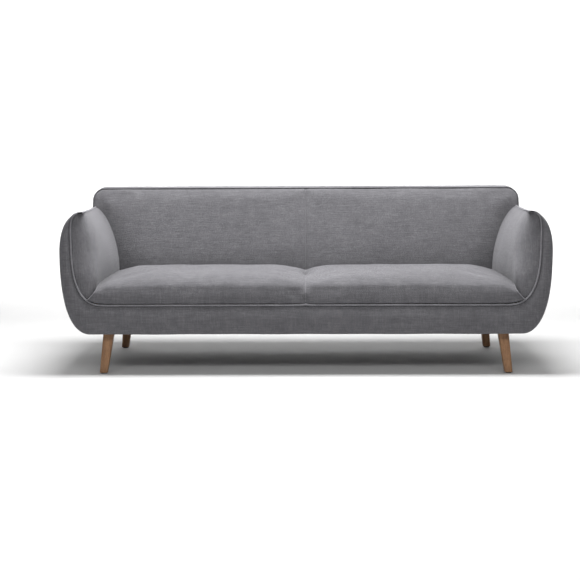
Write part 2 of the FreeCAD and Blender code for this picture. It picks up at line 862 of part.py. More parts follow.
def trim_seat(label, blank, name, side):
    """Trim a seat pad's outer end to the piping in front and to the arm pad beside it."""
    inside = doc.addObject("Part::Common", f"{label}_inside_{name}")
    inside.Base = blank
    inside.Tool = mouth_room(f"{label}_mouth_{name}", side)
    gap = f"-{size('clearance')}"
    arm = arm_pad_body(f"{label}_arm_room_{name}", side, gap, f"2 * {gap}")
    return cut(f"{label}_{name}", inside, arm)


def seat_pads(name, side):
    wall = size("cover_thickness")
    gap = size("clearance")
    inner, outer = SEAM_GAP, f"({ARM_INSIDE} + {size('arm_flare')})"
    cover = new_body(f"seat_cover_blank_{name}")
    low = sorted_sides(side, inner, outer)[0]
    section = seat_outline(cover, "Outside", "0", DECK, low)
    pad(cover, section, f"{outer} - {inner}")
    hollow_inner = f"({inner} + {wall})"
    low = sorted_sides(side, hollow_inner, outer)[0]
    hollow = seat_outline(cover, "Inside", wall, f"({DECK} - {size('margin')})", low)
    pocket(cover, hollow, f"{outer} - {hollow_inner}", reverse=True)
    keep(trim_seat("seat_cover", cover, name, side))
    foam = new_body(f"seat_foam_blank_{name}")
    inset = f"({wall} + {gap})"
    low = sorted_sides(side, f"({inner} + {inset})", outer)[0]
    section = seat_outline(foam, "FoamOutline", inset, DECK, low)
    pad(foam, section, f"{outer} - {inner} - {inset}")
    keep(trim_seat("seat_foam", foam, name, side))


# The back: two leaning pads, a boxing over their top and ends, and a panel outside
def back_pad_outline(body, name, side, inset, floor, lift):
    inner = f"({SEAM_GAP} + ({inset}))"
    outer = f"({BACK_HALF} - {size('clearance')} - ({inset}))"
    top = f"({BACK_PAD_TOP} - ({inset}))"
    corner = f"({size('back_corner')} - ({inset}))"
    corners = (
        (f"{side} * {inner}", floor),
        (f"{side} * {outer}", floor),
        (f"{side} * {outer}", f"({top} - {corner})", f"{side} * {corner}"),
        (f"{side} * ({outer} - {corner})", top),
        (f"{side} * {inner}", top),
    )
    return outline(body, name, "XZ_Plane", corners, lift)


def back_pads(name, side):
    wall = size("cover_thickness")
    gap = size("clearance")
    lift = BACK_LIFT
    cover = new_body(f"back_cover_{name}")
    section = back_pad_outline(cover, "Outside", side, "0", lift, "0")
    pad(cover, section, size("back_thickness"), reverse=True)
    hollow = back_pad_outline(cover, "Inside", side, wall, f"{lift} + {wall}", f"-{wall}")
    pocket(cover, hollow, size("back_thickness"))
    place(cover, "0", BACK_FACE, DECK, size("back_lean"))
    keep(cover)
    foam = new_body(f"back_foam_{name}")
    inset = f"({wall} + {gap})"
    section = back_pad_outline(foam, "FoamOutline", side, inset, f"{lift} + {inset}", f"-{inset}")
    pad(foam, section, f"{size('back_thickness')} - {inset}", reverse=True)
    place(foam, "0", BACK_FACE, DECK, size("back_lean"))
    keep(foam)


def back_boxing():
    """A strip that runs up one end of the back, over its top and down the other end."""
    thickness = size("shell_thickness")
    gap = size("clearance")
    body = new_body("back_boxing_blank")

    def arch(inset):
        half = f"({BACK_HALF} - ({inset}))"
        top = f"({size('overall_height')} - ({inset}))"
        corner = f"({size('back_corner')} - ({inset}))"
        start_z = f"({size('arm_height')} - 2 * {size('board')})"
        return [
            (half, start_z),
            (half, f"({top} - {corner})", corner),
            (f"({half} - {corner})", top),
            (f"-({half} - {corner})", top, corner),
            (f"-{half}", f"({top} - {corner})"),
            (f"-{half}", start_z),
        ]

    rise = f"({size('overall_height')} - {size('back_pad_top')} - {DECK})"
    front = f"({BACK_FACE} + {rise} * tan({size('back_lean')}))"
    section = outline(
        body, "Arch", "XZ_Plane", arch("0") + reverse_curve(arch(thickness)), f"-{front}"
    )
    pad(body, section, f"{REAR} - {front}", reverse=True)
    ahead = f"({thickness} + {gap})"
    depth = size("overall_depth")
    rooms = [rear_slab("boxing", ahead, depth, f"-{HALF_WIDTH}", HALF_WIDTH)]
    for name, side in SIDES:
        room = new_body(f"back_pad_room_{name}")
        around = back_pad_outline(room, "Room", side, f"-{gap}", BACK_LIFT, gap)
        pad(room, around, f"{size('back_thickness')} + 2 * {gap}", reverse=True)
        place(room, "0", BACK_FACE, DECK, size("back_lean"))
        rooms.append(room)
    keep(cut("back_boxing", body, fuse("boxing_rooms", rooms)))


def back_panel():
    """The outside of the back, with rounded corners that follow the shell and the boxing."""
    body = new_body("back_outer_cover")
    low_corner = f"({BACK_HALF} - {SHELL_FOOT_X})"
    corner = size("back_corner")
    half = BACK_HALF
    top = REAR_PANEL_HEIGHT
    corners = (
        (f"-{SHELL_FOOT_X}", "0"),
        (SHELL_FOOT_X, "0", low_corner),
        (half, low_corner),
        (half, f"({top} - {corner})", corner),
        (f"({half} - {corner})", top),
        (f"-({half} - {corner})", top, corner),
        (f"-{half}", f"({top} - {corner})"),
        (f"-{half}", low_corner, low_corner),
    )
    section = outline(body, "PanelOutline", "XZ_Plane", corners)
    pad(body, section, size("shell_thickness"))
    place(body, "0", REAR_BASE, size("base_height"), REAR_TURN)
    keep(body)


# The back's hidden frame
POST_OFFSET = (
    f"({FRAME_HALF} - {size('board')} - {size('block_width')} - {size('post_inset')}"
    f" - {size('board')} / 2)"
)
POST_REAR = f"({FRAME_REAR} - {size('board')})"
POST_FRONT = f"({POST_REAR} - {size('post_depth')})"
POST_STEP = f"({POST_FRONT} + {size('post_front_step')})"
# above the rail the posts' front stays behind the back pads
POST_TOP_FRONT = (
    f"({BACK_FACE} + ({size('post_top')} - {DECK}) * tan({size('back_lean')})"
    f" + {size('back_thickness')} / cos({size('back_lean')}) + {size('post_back_gap')})"
)


def bolt_places():
    """Two bolts through the rear rail into each back post, one above the other."""
    offset = POST_OFFSET
    rows = (f"{RAIL_BOTTOM} + {RAIL_HEIGHT} / 4", f"{RAIL_BOTTOM} + 3 * {RAIL_HEIGHT} / 4")
    return [(x, z) for x in (f"-{offset}", "0", offset) for z in rows]


def back_frame():
    posts = (("left", f"-{POST_OFFSET}"), ("centre", "0"), ("right", POST_OFFSET))
    for name, middle in posts:
        body = new_body(f"back_post_{name}")
        section = outline(
            body,
            "PostOutline",
            "YZ_Plane",
            (
                (POST_FRONT, RAIL_BOTTOM),
                (POST_REAR, RAIL_BOTTOM),
                (POST_REAR, RAIL_TOP),
                (f"{POST_REAR} + {size('post_lean_depth')}", size("post_top")),
                (POST_TOP_FRONT, size("post_top")),
                (POST_STEP, RAIL_TOP),
            ),
            middle,
        )
        pad(body, section, size("board"), midplane=True)
        rows = [z for x, z in bolt_places()[:2]]
        holes = circle(
            body, "BoltHoles", "XZ_Plane", [(middle, z) for z in rows], BOLT_HOLE,
            f"-{POST_REAR}",
        )
        pocket(body, holes, size("post_depth"), reverse=True)
        keep(body)
    back_rails()
    bolts = []
    for i, (across, up) in enumerate(bolt_places(), start=1):
        shank = cylinder(
            f"bolt_shank_{i}", (across, POST_FRONT, up), size("bolt_radius"),
            f"{size('post_depth')} + {size('board')}", Y_AXIS,
        )
        head = cylinder(
            f"bolt_head_{i}", (across, FRAME_REAR, up), size("bolt_head_radius"),
            size("bolt_head_height"), Y_AXIS,
        )
        bolts.append(fuse(f"frame_bolt_{i}", [shank, head]))
    group("frame_bolts", bolts)


def back_rails():
    """The rail over the posts, the tuck rail in front of them and the straps between."""
    end = FRAME_HALF
    lean = f"atan(({POST_TOP_FRONT} - {POST_STEP}) / ({size('post_top')} - {RAIL_TOP}))"
    top_rail = box(
        "back_top_rail",
        (f"-{end}", POST_TOP_FRONT, size("post_top")),
        (end, f"{POST_REAR} + {size('post_lean_depth')}",
         f"{size('post_top')} + {size('back_rail_height')}"),
    )
    keep(top_rail)
    tuck = doc.addObject("Part::Box", "back_tuck_rail")
    tuck.Label = "back_tuck_rail"
    tuck.setExpression("Length", f"2 * {end}")
    tuck.setExpression("Width", size("board"))
    tuck.setExpression("Height", size("tuck_rail_width"))
    rise = f"({size('tuck_rail_height')} - {RAIL_TOP})"
    post_face = f"({POST_STEP} + {rise} * tan({lean}))"
    place(
        tuck,
        f"-{end}",
        f"{post_face} - {size('board')} / cos({lean})",
        size("tuck_rail_height"),
        lean,
    )
    keep(tuck)
    width = size("tuck_rail_width")
    thick = size("strap_thickness")
    low_y = f"({post_face} - {size('board')} / cos({lean}) - {size('clearance')})"
    low_z = size("tuck_rail_height")
    bend_y = f"({low_y} + {width} * sin({lean}))"
    bend_z = f"({low_z} + {width} * cos({lean}))"
    high_y = f"({POST_TOP_FRONT} - {size('clearance')})"
    high_z = f"({size('post_top')} + {size('back_rail_height')})"
    strap_outline = (
        (f"({low_y} - {thick})", low_z),
        (low_y, low_z),
        (bend_y, bend_z),
        (high_y, high_z),
        (f"({high_y} - {thick})", high_z),
        (f"({bend_y} - {thick})", bend_z),
    )
    spacing = f"({POST_OFFSET} - {size('board')} / 2) / {size('straps_each_side')}"
    straps = []
    for name, side in SIDES:
        for i in range(int(value(size("straps_each_side")))):
            strap = new_body(f"strap_{name}_{i + 1}")
            middle = f"{side} * ({i} + 0.5) * {spacing}"
            section = outline(strap, "StrapOutline", "YZ_Plane", strap_outline, middle)
            pad(strap, section, size("strap_width"), midplane=True)
            straps.append(strap)
    group("back_webbing", straps)


# Zigzag springs from the front rail to the rear rail, held in clips
def spring_line():
    """The first and last cross bar of a spring, and how many bends lie between them."""
    first = value(FRAME_FRONT) + value(size("board")) / 2
    last = value(FRAME_REAR) - value(size("board")) / 2
    bends = round((last - first) / value(size("spring_pitch")))
    return first, last, bends


def one_spring():
    """A single zigzag wire along Y, with its bars along X and its middle at x = 0."""
    first, last, bends = spring_line()
    height = value(WIRE_HEIGHT)
    pitch = (last - first) / bends
    bend_radius = pitch / 2
    reach = value(size("spring_width")) / 2 - bend_radius
    edges = []
    for i in range(bends + 1):
        y = first + i * pitch
        direction = 1 if i % 2 == 0 else -1
        start = FreeCAD.Vector(-direction * reach, y, height)
        end = FreeCAD.Vector(direction * reach, y, height)
        edges.append(Part.LineSegment(start, end).toShape())
        if i < bends:
            far = FreeCAD.Vector(direction * (reach + bend_radius), y + bend_radius, height)
            after = FreeCAD.Vector(direction * reach, y + pitch, height)
            edges.append(Part.Arc(end, far, after).toShape())
    path = Part.Wire(edges)
    start = FreeCAD.Vector(-reach, first, height)
    ring = Part.Wire(Part.Circle(start, X_AXIS, value(size("wire_radius"))).toShape())
    return path.makePipeShell([ring], True, True)


def spring_centres():
    """Even places over each half of the seat, the outermost just inside the back post."""
    count = int(value(size("springs_each_side")))
    inner = value(size("board"))
    half_width = value(size("spring_width")) / 2 + value(size("wire_radius"))
    post_face = value(POST_OFFSET) - value(size("board")) / 2
    outer = post_face - half_width - value(size("spring_gap"))
    step = (outer - inner) / (count - 0.5)
    return [side * (inner + (i + 0.5) * step) for name, side in SIDES for i in range(count)]


def suspension():
    first, last, bends = spring_line()
    wire = one_spring()
    springs = doc.addObject("Part::Feature", "seat_springs")
    springs.Label = "seat_springs"
    copies = [wire.translated(FreeCAD.Vector(x, 0, 0)) for x in spring_centres()]
    springs.Shape = Part.makeCompound(copies)
    springs.Placement = FreeCAD.Placement()
    keep(springs)
    clips = []
    for i, x in enumerate(spring_centres(), start=1):
        for end, y in (("front", first), ("rear", last)):
            clips.append(spring_clip(f"clip_{end}_{i}", x, y))
    group("spring_clips", clips)
    side = f"({FRAME_HALF} - {size('board')})"
    above = f"({RAIL_TOP} + {size('clip_height')} + {size('clearance')})"
    felt = box(
        "deck_felt",
        (f"-{side}", f"{FRAME_FRONT} + {size('felt_gap')}", above),
        (side, f"{POST_FRONT} - {size('board')} - {size('felt_gap')}",
         f"{DECK} - {size('clearance')}"),
    )
    keep(felt)


def spring_clip(label, x, y):
    """A folded steel clip on a rail, with the spring's end bar through it."""
    half_length = f"{size('clip_length')} / 2"
    half_depth = f"{size('clip_depth')} / 2"
    block = box(
        f"{label}_block",
        (f"{x} - {half_length}", f"{y} - {half_depth}", RAIL_TOP),
        (f"{x} + {half_length}", f"{y} + {half_depth}", f"{RAIL_TOP} + {size('clip_height')}"),
    )
    bore = cylinder(
        f"{label}_bore",
        (f"{x} - {half_length} - {size('margin')}", y, WIRE_HEIGHT),
        f"{size('wire_radius')} + {size('clearance')}",
        f"{size('clip_length')} + 2 * {size('margin')}",
        X_AXIS,
    )
    return cut(label, block, bore)


# The front band, its padding and the dust cover underneath
def band_and_dust_cover():
    half = f"({HALF_WIDTH} - {size('base_inset')} - {size('clearance')})"
    top = f"({size('welt_height')} - {size('welt_radius')} - {size('clearance')})"
    band = box(
        "front_band_cover",
        (f"-{half}", FRONT, size("base_height")),
        (half, f"{FRONT} + {size('cover_thickness')}", top),
    )
    keep(band)
    padding = box(
        "front_padding",
        (f"-{FRAME_HALF}", f"{FRONT} + {size('cover_thickness')}", RAIL_BOTTOM),
        (FRAME_HALF, FRAME_FRONT, RAIL_TOP),
    )
    keep(padding)
    body = new_body("dust_cover")
    gap = size("dust_cover_gap")
    plate = f"({size('plate_size')} / 2 + {gap})"
    side = f"({FRAME_HALF} - {gap})"
    front = f"({FRAME_FRONT} + {gap})"
    rear = f"({FRAME_REAR} - {gap})"
    corners = []
    for leg in (LEGS[0], LEGS[1], LEGS[3], LEGS[2]):
        corners.extend(dust_cover_corner(leg, side, front, rear, plate))
    thickness = size("dust_cover_thickness")
    section = outline(body, "SheetOutline", "XY_Plane", corners, f"{RAIL_BOTTOM} - {thickness}")
    pad(body, section, thickness)
    keep(body)


def dust_cover_corner(leg, side, front, rear, plate):
    """The sheet's corner, cut back in a step round the leg plate."""
    name, hand, fore = leg
    across, along = leg_top(leg)
    step_x = f"({across} - {hand} * {plate})"
    step_y = f"({along} - {fore} * {plate})"
    end_x = f"({hand} * {side})"
    end_y = front if fore < 0 else rear
    points = [(end_x, step_y), (step_x, step_y), (step_x, end_y)]
    return points if hand == fore else points[::-1]


# Piping round the mouth of the shell
def piping():
    along = f"{FRONT} + {size('welt_radius')} - {size('welt_proud')}"
    front = cylinder(
        "front_welt", (f"-{MOUTH_X}", along, size("welt_height")), size("welt_radius"),
        f"2 * {MOUTH_X}", X_AXIS,
    )
    keep(front)
    for name, side in SIDES:
        keep(arm_welt(name, side))


def arm_welt(name, side):
    """Piping up the arm's front, over its top corner and back along the arm to the back."""
    radius = value(size("welt_radius"))
    gap = value(size("clearance"))
    corner = value(size("base_corner"))
    turn = math.radians(value(size("base_corner_turn")))
    y = value(FRONT) + radius - value(size("welt_proud"))
    base_x, base_z = value(MOUTH_X), value(MOUTH_Z)
    lip_x = value(HALF_WIDTH) - value(size("front_lip"))
    top_z = value(SHELL_TOP_Z)
    end_x = value(SHELL_TOP_X) - radius - value(size("welt_ridge_inset"))
    end_z = value(size("arm_height")) - radius
    bend = 2 * radius
    lean = math.radians(value(size("back_lean")))
    stop = value(BACK_FACE) + (end_z - value(DECK)) * math.tan(lean) - radius - gap

    def at(x, along, z):
        return FreeCAD.Vector(side * x, along, z)

    def round_corner(angle):
        return at(base_x + corner * math.sin(angle), y, base_z - corner * math.cos(angle))

    def upright_arc(across, up, share):
        """A point on the arc that stands upright at the lip, a share of the way along it."""
        big = (across**2 + up**2) / (2 * across)
        angle = math.asin(abs(up) / big) * share
        height = top_z + math.copysign(big * math.sin(angle), up)
        return at(lip_x - big * (1 - math.cos(angle)), y, height)

    start = at(base_x + 2 * gap, y, base_z - corner)
    low = round_corner(turn)
    wide = at(lip_x, y, top_z)
    across, up = lip_x - abs(low.x), low.z - top_z
    shoulder = at(end_x, y, end_z - bend)
    half_way = math.radians(45)
    turn_middle = at(
        end_x, y + bend * (1 - math.cos(half_way)), end_z - bend * (1 - math.sin(half_way))
    )
    turned = at(end_x, y + bend, end_z)
    edges = [
        Part.Arc(start, round_corner(turn / 2), low),
        Part.Arc(low, upright_arc(across, up, 0.5), wide),
        Part.Arc(wide, upright_arc(lip_x - end_x, shoulder.z - top_z, 0.5), shoulder),
        Part.Arc(shoulder, turn_middle, turned),
        Part.LineSegment(turned, at(end_x, stop, end_z)),
    ]
    ring = Part.Wire(Part.Circle(start, X_AXIS, radius).toShape())
    welt = doc.addObject("Part::Feature", f"arm_welt_{name}")
    welt.Label = f"arm_welt_{name}"
    path = Part.Wire([edge.toShape() for edge in edges])
    welt.Shape = path.makePipeShell([ring], True, True)
    welt.Placement = FreeCAD.Placement()
    return welt


def check_and_write():
    """Stop on any failed feature or bad shape, then write one file per sub-part."""
    doc.recompute()
    for obj in doc.Objects:
        if "Invalid" in obj.State or "Error" in obj.State:
            raise RuntimeError(f"{obj.Label} failed: {obj.State}")
    for node in nodes:
        if node.Shape.isNull() or not node.Shape.isValid() or not node.Shape.Solids:
            raise RuntimeError(f"{node.Label} has no valid solid")
    os.makedirs("parts", exist_ok=True)
    for node in nodes:
        node.Shape.exportStep(f"parts/{node.Label}.step")


legs_and_fittings()
seat_frame()
back_frame()
suspension()
band_and_dust_cover()
for side_name, side_sign in SIDES:
    arm_frame(side_name, side_sign)
    arm_shell(side_name, side_sign)
    arm_pads(side_name, side_sign)
    seat_pads(side_name, side_sign)
    back_pads(side_name, side_sign)
back_boxing()
back_panel()
piping()
check_and_write()
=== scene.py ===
import json
import math

import bmesh
import bpy
from mathutils import Matrix, Vector, noise


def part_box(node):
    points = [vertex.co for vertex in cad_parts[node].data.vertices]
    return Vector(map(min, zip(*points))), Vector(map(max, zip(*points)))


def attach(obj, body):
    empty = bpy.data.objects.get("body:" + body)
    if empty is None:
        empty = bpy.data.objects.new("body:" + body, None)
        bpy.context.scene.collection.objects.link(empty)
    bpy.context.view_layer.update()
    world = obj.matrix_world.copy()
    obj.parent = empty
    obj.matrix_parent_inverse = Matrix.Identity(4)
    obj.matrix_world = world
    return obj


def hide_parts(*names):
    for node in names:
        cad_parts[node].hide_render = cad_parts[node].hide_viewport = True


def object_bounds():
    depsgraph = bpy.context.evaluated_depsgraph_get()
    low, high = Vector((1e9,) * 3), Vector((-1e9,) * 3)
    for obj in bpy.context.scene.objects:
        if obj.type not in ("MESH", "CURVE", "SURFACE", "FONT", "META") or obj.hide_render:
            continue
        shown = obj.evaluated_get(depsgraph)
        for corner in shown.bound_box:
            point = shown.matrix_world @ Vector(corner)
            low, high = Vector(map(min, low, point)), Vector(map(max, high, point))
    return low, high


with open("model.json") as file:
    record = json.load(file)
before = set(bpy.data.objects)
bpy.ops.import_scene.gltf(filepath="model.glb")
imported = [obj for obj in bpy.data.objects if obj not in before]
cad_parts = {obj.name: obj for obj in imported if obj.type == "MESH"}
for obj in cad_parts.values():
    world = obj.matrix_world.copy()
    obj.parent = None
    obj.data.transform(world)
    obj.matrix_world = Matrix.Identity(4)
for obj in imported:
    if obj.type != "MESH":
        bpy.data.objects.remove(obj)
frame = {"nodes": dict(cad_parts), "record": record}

# An upholstered sofa in soft studio light. Metres, in the frame of the CAD model: +Z is up,
# the sofa faces -Y and its origin is on the floor, under its middle.

CAD_LOW, CAD_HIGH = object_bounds()
SCENE = bpy.context.scene
SIDES = (("left", -1), ("right", 1))

# ---------------------------------------------------------------- places, from the frame
HALF_WIDTH = CAD_HIGH[0]
BACK_TOP = CAD_HIGH[2]
FRONT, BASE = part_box("front_band_cover")[0][1:]
WELT_LOW, WELT_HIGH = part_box("front_welt")
WELT_Z = (WELT_LOW[2] + WELT_HIGH[2]) / 2
WELT_RADIUS = (WELT_HIGH[2] - WELT_LOW[2]) / 2
ARM_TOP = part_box("arm_outer_cover_right")[1][2]
PANEL_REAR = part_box("back_outer_cover")[1][1]
BACK_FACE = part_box("back_cover_right")[0][1]
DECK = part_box("seat_cover_right")[0][2]

# ---------------------------------------------------------------- the sofa's own shapes
WIDEST_Z = 0.510
FOOT_X = HALF_WIDTH - 0.130
FOOT_POWER = 2.35
RIDGE_FRONT = (HALF_WIDTH - 0.105, ARM_TOP)
RIDGE_REAR = (HALF_WIDTH - 0.050, ARM_TOP - 0.016)
RIDGE_REAR_Y = 0.27
RIDGE_POWER = 2.4
BARREL_REAR_Y = RIDGE_REAR_Y + 0.08
SHELL_EDGE = 0.014
SHELL_THICKNESS = 0.004
REAR_EDGE = 0.020
PANEL_RISE = 0.009
MOUTH_BEND = (HALF_WIDTH - 0.205, 0.600)
MOUTH_REACH = 0.153
MOUTH_TOP_POWER = 3.4
MOUTH_FOOT_POWER = 3
MOUTH_Y = FRONT + 0.003
BACK_LEAN = math.radians(17)
BACK_HALF = HALF_WIDTH - 0.040
BACK_SLOPE = 0.065
BACK_SEAM_Z = BACK_TOP - 0.002
BACK_CORNER = 0.055
SEAM_DEPTH = 0.009


def clamp(x):
    return max(0.0, min(1.0, x))


def mix(a, b, share):
    return a + (b - a) * share


def ease(x):
    x = clamp(x)
    return x * x * (3 - 2 * x)


def quarter(centre, across, up, power, turn):
    """A point of a rounded quarter outline: turn is 0 at its side and 1 at its top."""
    angle = turn * math.pi / 2
    along_x = max(math.cos(angle), 0.0) ** (2 / power)
    along_z = max(math.sin(angle), 0.0) ** (2 / power)
    return Vector((centre[0] + across * along_x, centre[1] + up * along_z))


def ridge(y):
    """Where the arm's top edge is at a depth: it flares out and falls towards the back."""
    share = (y - FRONT) / (RIDGE_REAR_Y - FRONT)
    z = mix(RIDGE_FRONT[1], RIDGE_REAR[1], share)
    sag = 0.005 * (math.sin(math.pi * clamp(share)) + 1 - ease(share * 12))
    return Vector((mix(RIDGE_FRONT[0], RIDGE_REAR[0], share), z - sag))


def barrel(turn, y):
    """The arm's outline at a depth: turn runs from 1, at the ridge, past 0, to -1, at the foot."""
    if turn >= 0:
        top = ridge(y)
        reach, rise = HALF_WIDTH - top.x, top.y - WIDEST_Z
        return quarter((top.x, WIDEST_Z), reach, rise, RIDGE_POWER, turn)
    reach, drop = HALF_WIDTH - FOOT_X, BASE - WIDEST_Z
    return quarter((FOOT_X, WIDEST_Z), reach, drop, FOOT_POWER, -turn)


def barrel_x(z):
    """How wide the barrel is at a height below its widest."""
    if z > WIDEST_Z:
        return HALF_WIDTH
    drop = clamp((WIDEST_Z - z) / (WIDEST_Z - BASE))
    return FOOT_X + (HALF_WIDTH - FOOT_X) * (1 - drop**FOOT_POWER) ** (1 / FOOT_POWER)


def mouth(turn):
    """The line of the piping on the arm's front, for the same turns as the barrel."""
    if turn >= 0:
        top = ridge(FRONT)
        reach, rise = MOUTH_BEND[0] + MOUTH_REACH - top.x, top.y - MOUTH_BEND[1]
        return quarter((top.x, MOUTH_BEND[1]), reach, rise, MOUTH_TOP_POWER, turn)
    return quarter(MOUTH_BEND, MOUTH_REACH, WELT_Z - MOUTH_BEND[1], MOUTH_FOOT_POWER, -turn)


def mouth_z(x):
    """The height of the piping under the seat pad at a distance from the middle."""
    share = clamp((abs(x) - MOUTH_BEND[0]) / MOUTH_REACH)
    fall = (1 - share**MOUTH_FOOT_POWER) ** (1 / MOUTH_FOOT_POWER)
    return MOUTH_BEND[1] + (WELT_Z - MOUTH_BEND[1]) * fall


def rear_y(z):
    """The depth of the leaning outside of the back."""
    share = (z - BASE) / (BACK_TOP - BASE)
    return mix(PANEL_REAR - BACK_SLOPE, PANEL_REAR, share)


def back_y(z):
    """The depth of the back's leaning front."""
    return BACK_FACE + (z - DECK) * math.tan(BACK_LEAN)


# ---------------------------------------------------------------- mesh helpers
def add_object(name, points, faces):
    mesh = bpy.data.meshes.new(name)
    mesh.from_pydata([tuple(p) for p in points], [], faces)
    obj = bpy.data.objects.new(name, mesh)
    SCENE.collection.objects.link(obj)
    return obj


def finish_mesh(obj):
    """Join what meets, drop what has no area and turn the faces outwards."""
    work = bmesh.new()
    work.from_mesh(obj.data)
    bmesh.ops.remove_doubles(work, verts=work.verts, dist=2e-5)
    bmesh.ops.dissolve_degenerate(work, dist=2e-5, edges=work.edges)
    loose = [v for v in work.verts if not v.link_faces]
    bmesh.ops.delete(work, geom=loose, context="VERTS")
    bmesh.ops.recalc_face_normals(work, faces=work.faces)
    work.to_mesh(obj.data)
    work.free()
    obj.data.polygons.foreach_set("use_smooth", [True] * len(obj.data.polygons))
    obj.data.update()


def grid_faces(rows, columns, index=None):
    """Quads of a grid; index gives a point's number from its row and column."""
    index = index or (lambda i, j: i * columns + j)
    faces = []
    for i in range(rows - 1):
        for j in range(columns - 1):
            face = (index(i, j), index(i + 1, j), index(i + 1, j + 1), index(i, j + 1))
            if len(set(face)) > 2:
                faces.append(tuple(dict.fromkeys(face)))
    return faces


# how much of a pad, from its edge, its hidden side takes to draw up to the shown one
HIDDEN_TAPER = 0.1


def closed_pad(name, surface, behind, rows, columns):
    """A closed pad: its shown surface, and a hidden side that meets it all round.

    surface(u, v) gives a point of the shown side, and behind(u, v, point) where the hidden
    side would be; near the edge the hidden side draws up to the shown one.
    """
    points = []
    for i in range(rows):
        for j in range(columns):
            points.append(surface(i / (rows - 1), j / (columns - 1)))
    hidden = {}
    for i in range(1, rows - 1):
        for j in range(1, columns - 1):
            u, v = i / (rows - 1), j / (columns - 1)
            point = points[i * columns + j]
            near = min(u, 1 - u, v, 1 - v)
            share = ease(near / HIDDEN_TAPER)
            hidden[i, j] = len(points)
            points.append(point.lerp(behind(u, v, point), share))
    faces = grid_faces(rows, columns)
    back = grid_faces(rows, columns, lambda i, j: hidden.get((i, j), i * columns + j))
    faces += [face[::-1] for face in back]
    obj = add_object(name, points, faces)
    held = obj.vertex_groups.new(name="held")
    edge = [
        i * columns + j
        for i in range(rows)
        for j in range(columns)
        if min(i, rows - 1 - i, j, columns - 1 - j) == 0
    ]
    held.add(edge + list(hidden.values()), 1.0, "REPLACE")
    return obj


def point_outwards(obj):
    work = bmesh.new()
    work.from_mesh(obj.data)
    bmesh.ops.recalc_face_normals(work, faces=work.faces)
    work.to_mesh(obj.data)
    work.free()


SWELL_STEPS = 20


def swell(obj, pressure, cap):
    """Fill a pad: cloth under pressure, held at its seams, then applied to the mesh."""
    point_outwards(obj)
    start = [v.co.copy() for v in obj.data.vertices]
    cloth = obj.modifiers.new("Swell", "CLOTH")
    settings = cloth.settings
    settings.vertex_group_mass = "held"
    settings.quality = 5
    settings.mass = 0.25
    settings.tension_stiffness = 18
    settings.compression_stiffness = 18
    settings.shear_stiffness = 6
    settings.bending_stiffness = 2.0
    settings.use_pressure = True
    settings.uniform_pressure_force = pressure
    settings.effector_weights.gravity = 0
    cloth.collision_settings.use_collision = False
    for step in range(1, SWELL_STEPS + 1):
        SCENE.frame_set(step)
    graph = bpy.context.evaluated_depsgraph_get()
    moved = obj.evaluated_get(graph).data
    shifts = []
    for before, after in zip(start, moved.vertices):
        shift = after.co - before
        if shift.length > cap:
            shift *= cap / shift.length
        shifts.append(shift)
    obj.modifiers.remove(cloth)
    SCENE.frame_set(1)
    for vertex, before, shift in zip(obj.data.vertices, start, even_out(obj, shifts)):
        vertex.co = before + shift


def even_out(obj, shifts, rounds=14, pull=0.7):
    """Spread the swelling evenly, as wadding under a tight cover does."""
    held = {v.index for v in obj.data.vertices if v.groups}
    beside = [[] for _ in shifts]
    for edge in obj.data.edges:
        a, b = edge.vertices
        beside[a].append(b)
        beside[b].append(a)
    for _ in range(rounds):
        spread = []
        for i, shift in enumerate(shifts):
            if i in held:
                spread.append(shift)
                continue
            around = sum((shifts[k] for k in beside[i]), Vector()) / len(beside[i])
            spread.append(shift.lerp(around, pull))
        shifts = spread
    return shifts


def soften(obj, amount, grain, seed):
    """Small uneven swells over a pad, as cloth over foam and wadding has."""
    obj.data.update()
    offset = Vector((seed, seed * 1.7, seed * 0.3))
    normals = [v.normal.copy() for v in obj.data.vertices]
    for vertex, normal in zip(obj.data.vertices, normals):
        lift = noise.noise(vertex.co / grain + offset)
        vertex.co += normal * lift * amount
    obj.data.update()


def subdivide(obj):
    modifier = obj.modifiers.new("Smooth", "SUBSURF")
    modifier.levels = 1
    modifier.render_levels = 1


def tube(name, path, radius, sides):
    """A round tube along a run of points, closed at both ends; radius(i, at) gives its radius."""
    points, faces = [], []
    side_way = None
    for i, at in enumerate(path):
        ahead = path[min(i + 1, len(path) - 1)] - path[max(i - 1, 0)]
        ahead.normalize()
        if side_way is None:
            side_way = ahead.orthogonal().normalized()
        side_way = (side_way - ahead * side_way.dot(ahead)).normalized()
        up_way = ahead.cross(side_way)
        thick = radius(i, at)
        for k in range(sides):
            angle = 2 * math.pi * k / sides
            points.append(at + (side_way * math.cos(angle) + up_way * math.sin(angle)) * thick)
    for i in range(len(path) - 1):
        for k in range(sides):
            after = (k + 1) % sides
            faces.append(
                (i * sides + k, i * sides + after, (i + 1) * sides + after, (i + 1) * sides + k)
            )
    faces.append(tuple(range(sides))[::-1])
    last = (len(path) - 1) * sides
    faces.append(tuple(last + k for k in range(sides)))
    obj = add_object(name, points, faces)
    finish_mesh(obj)
    return obj


def mirrored(point, side):
    return Vector((point.x * side, point.y, point.z))


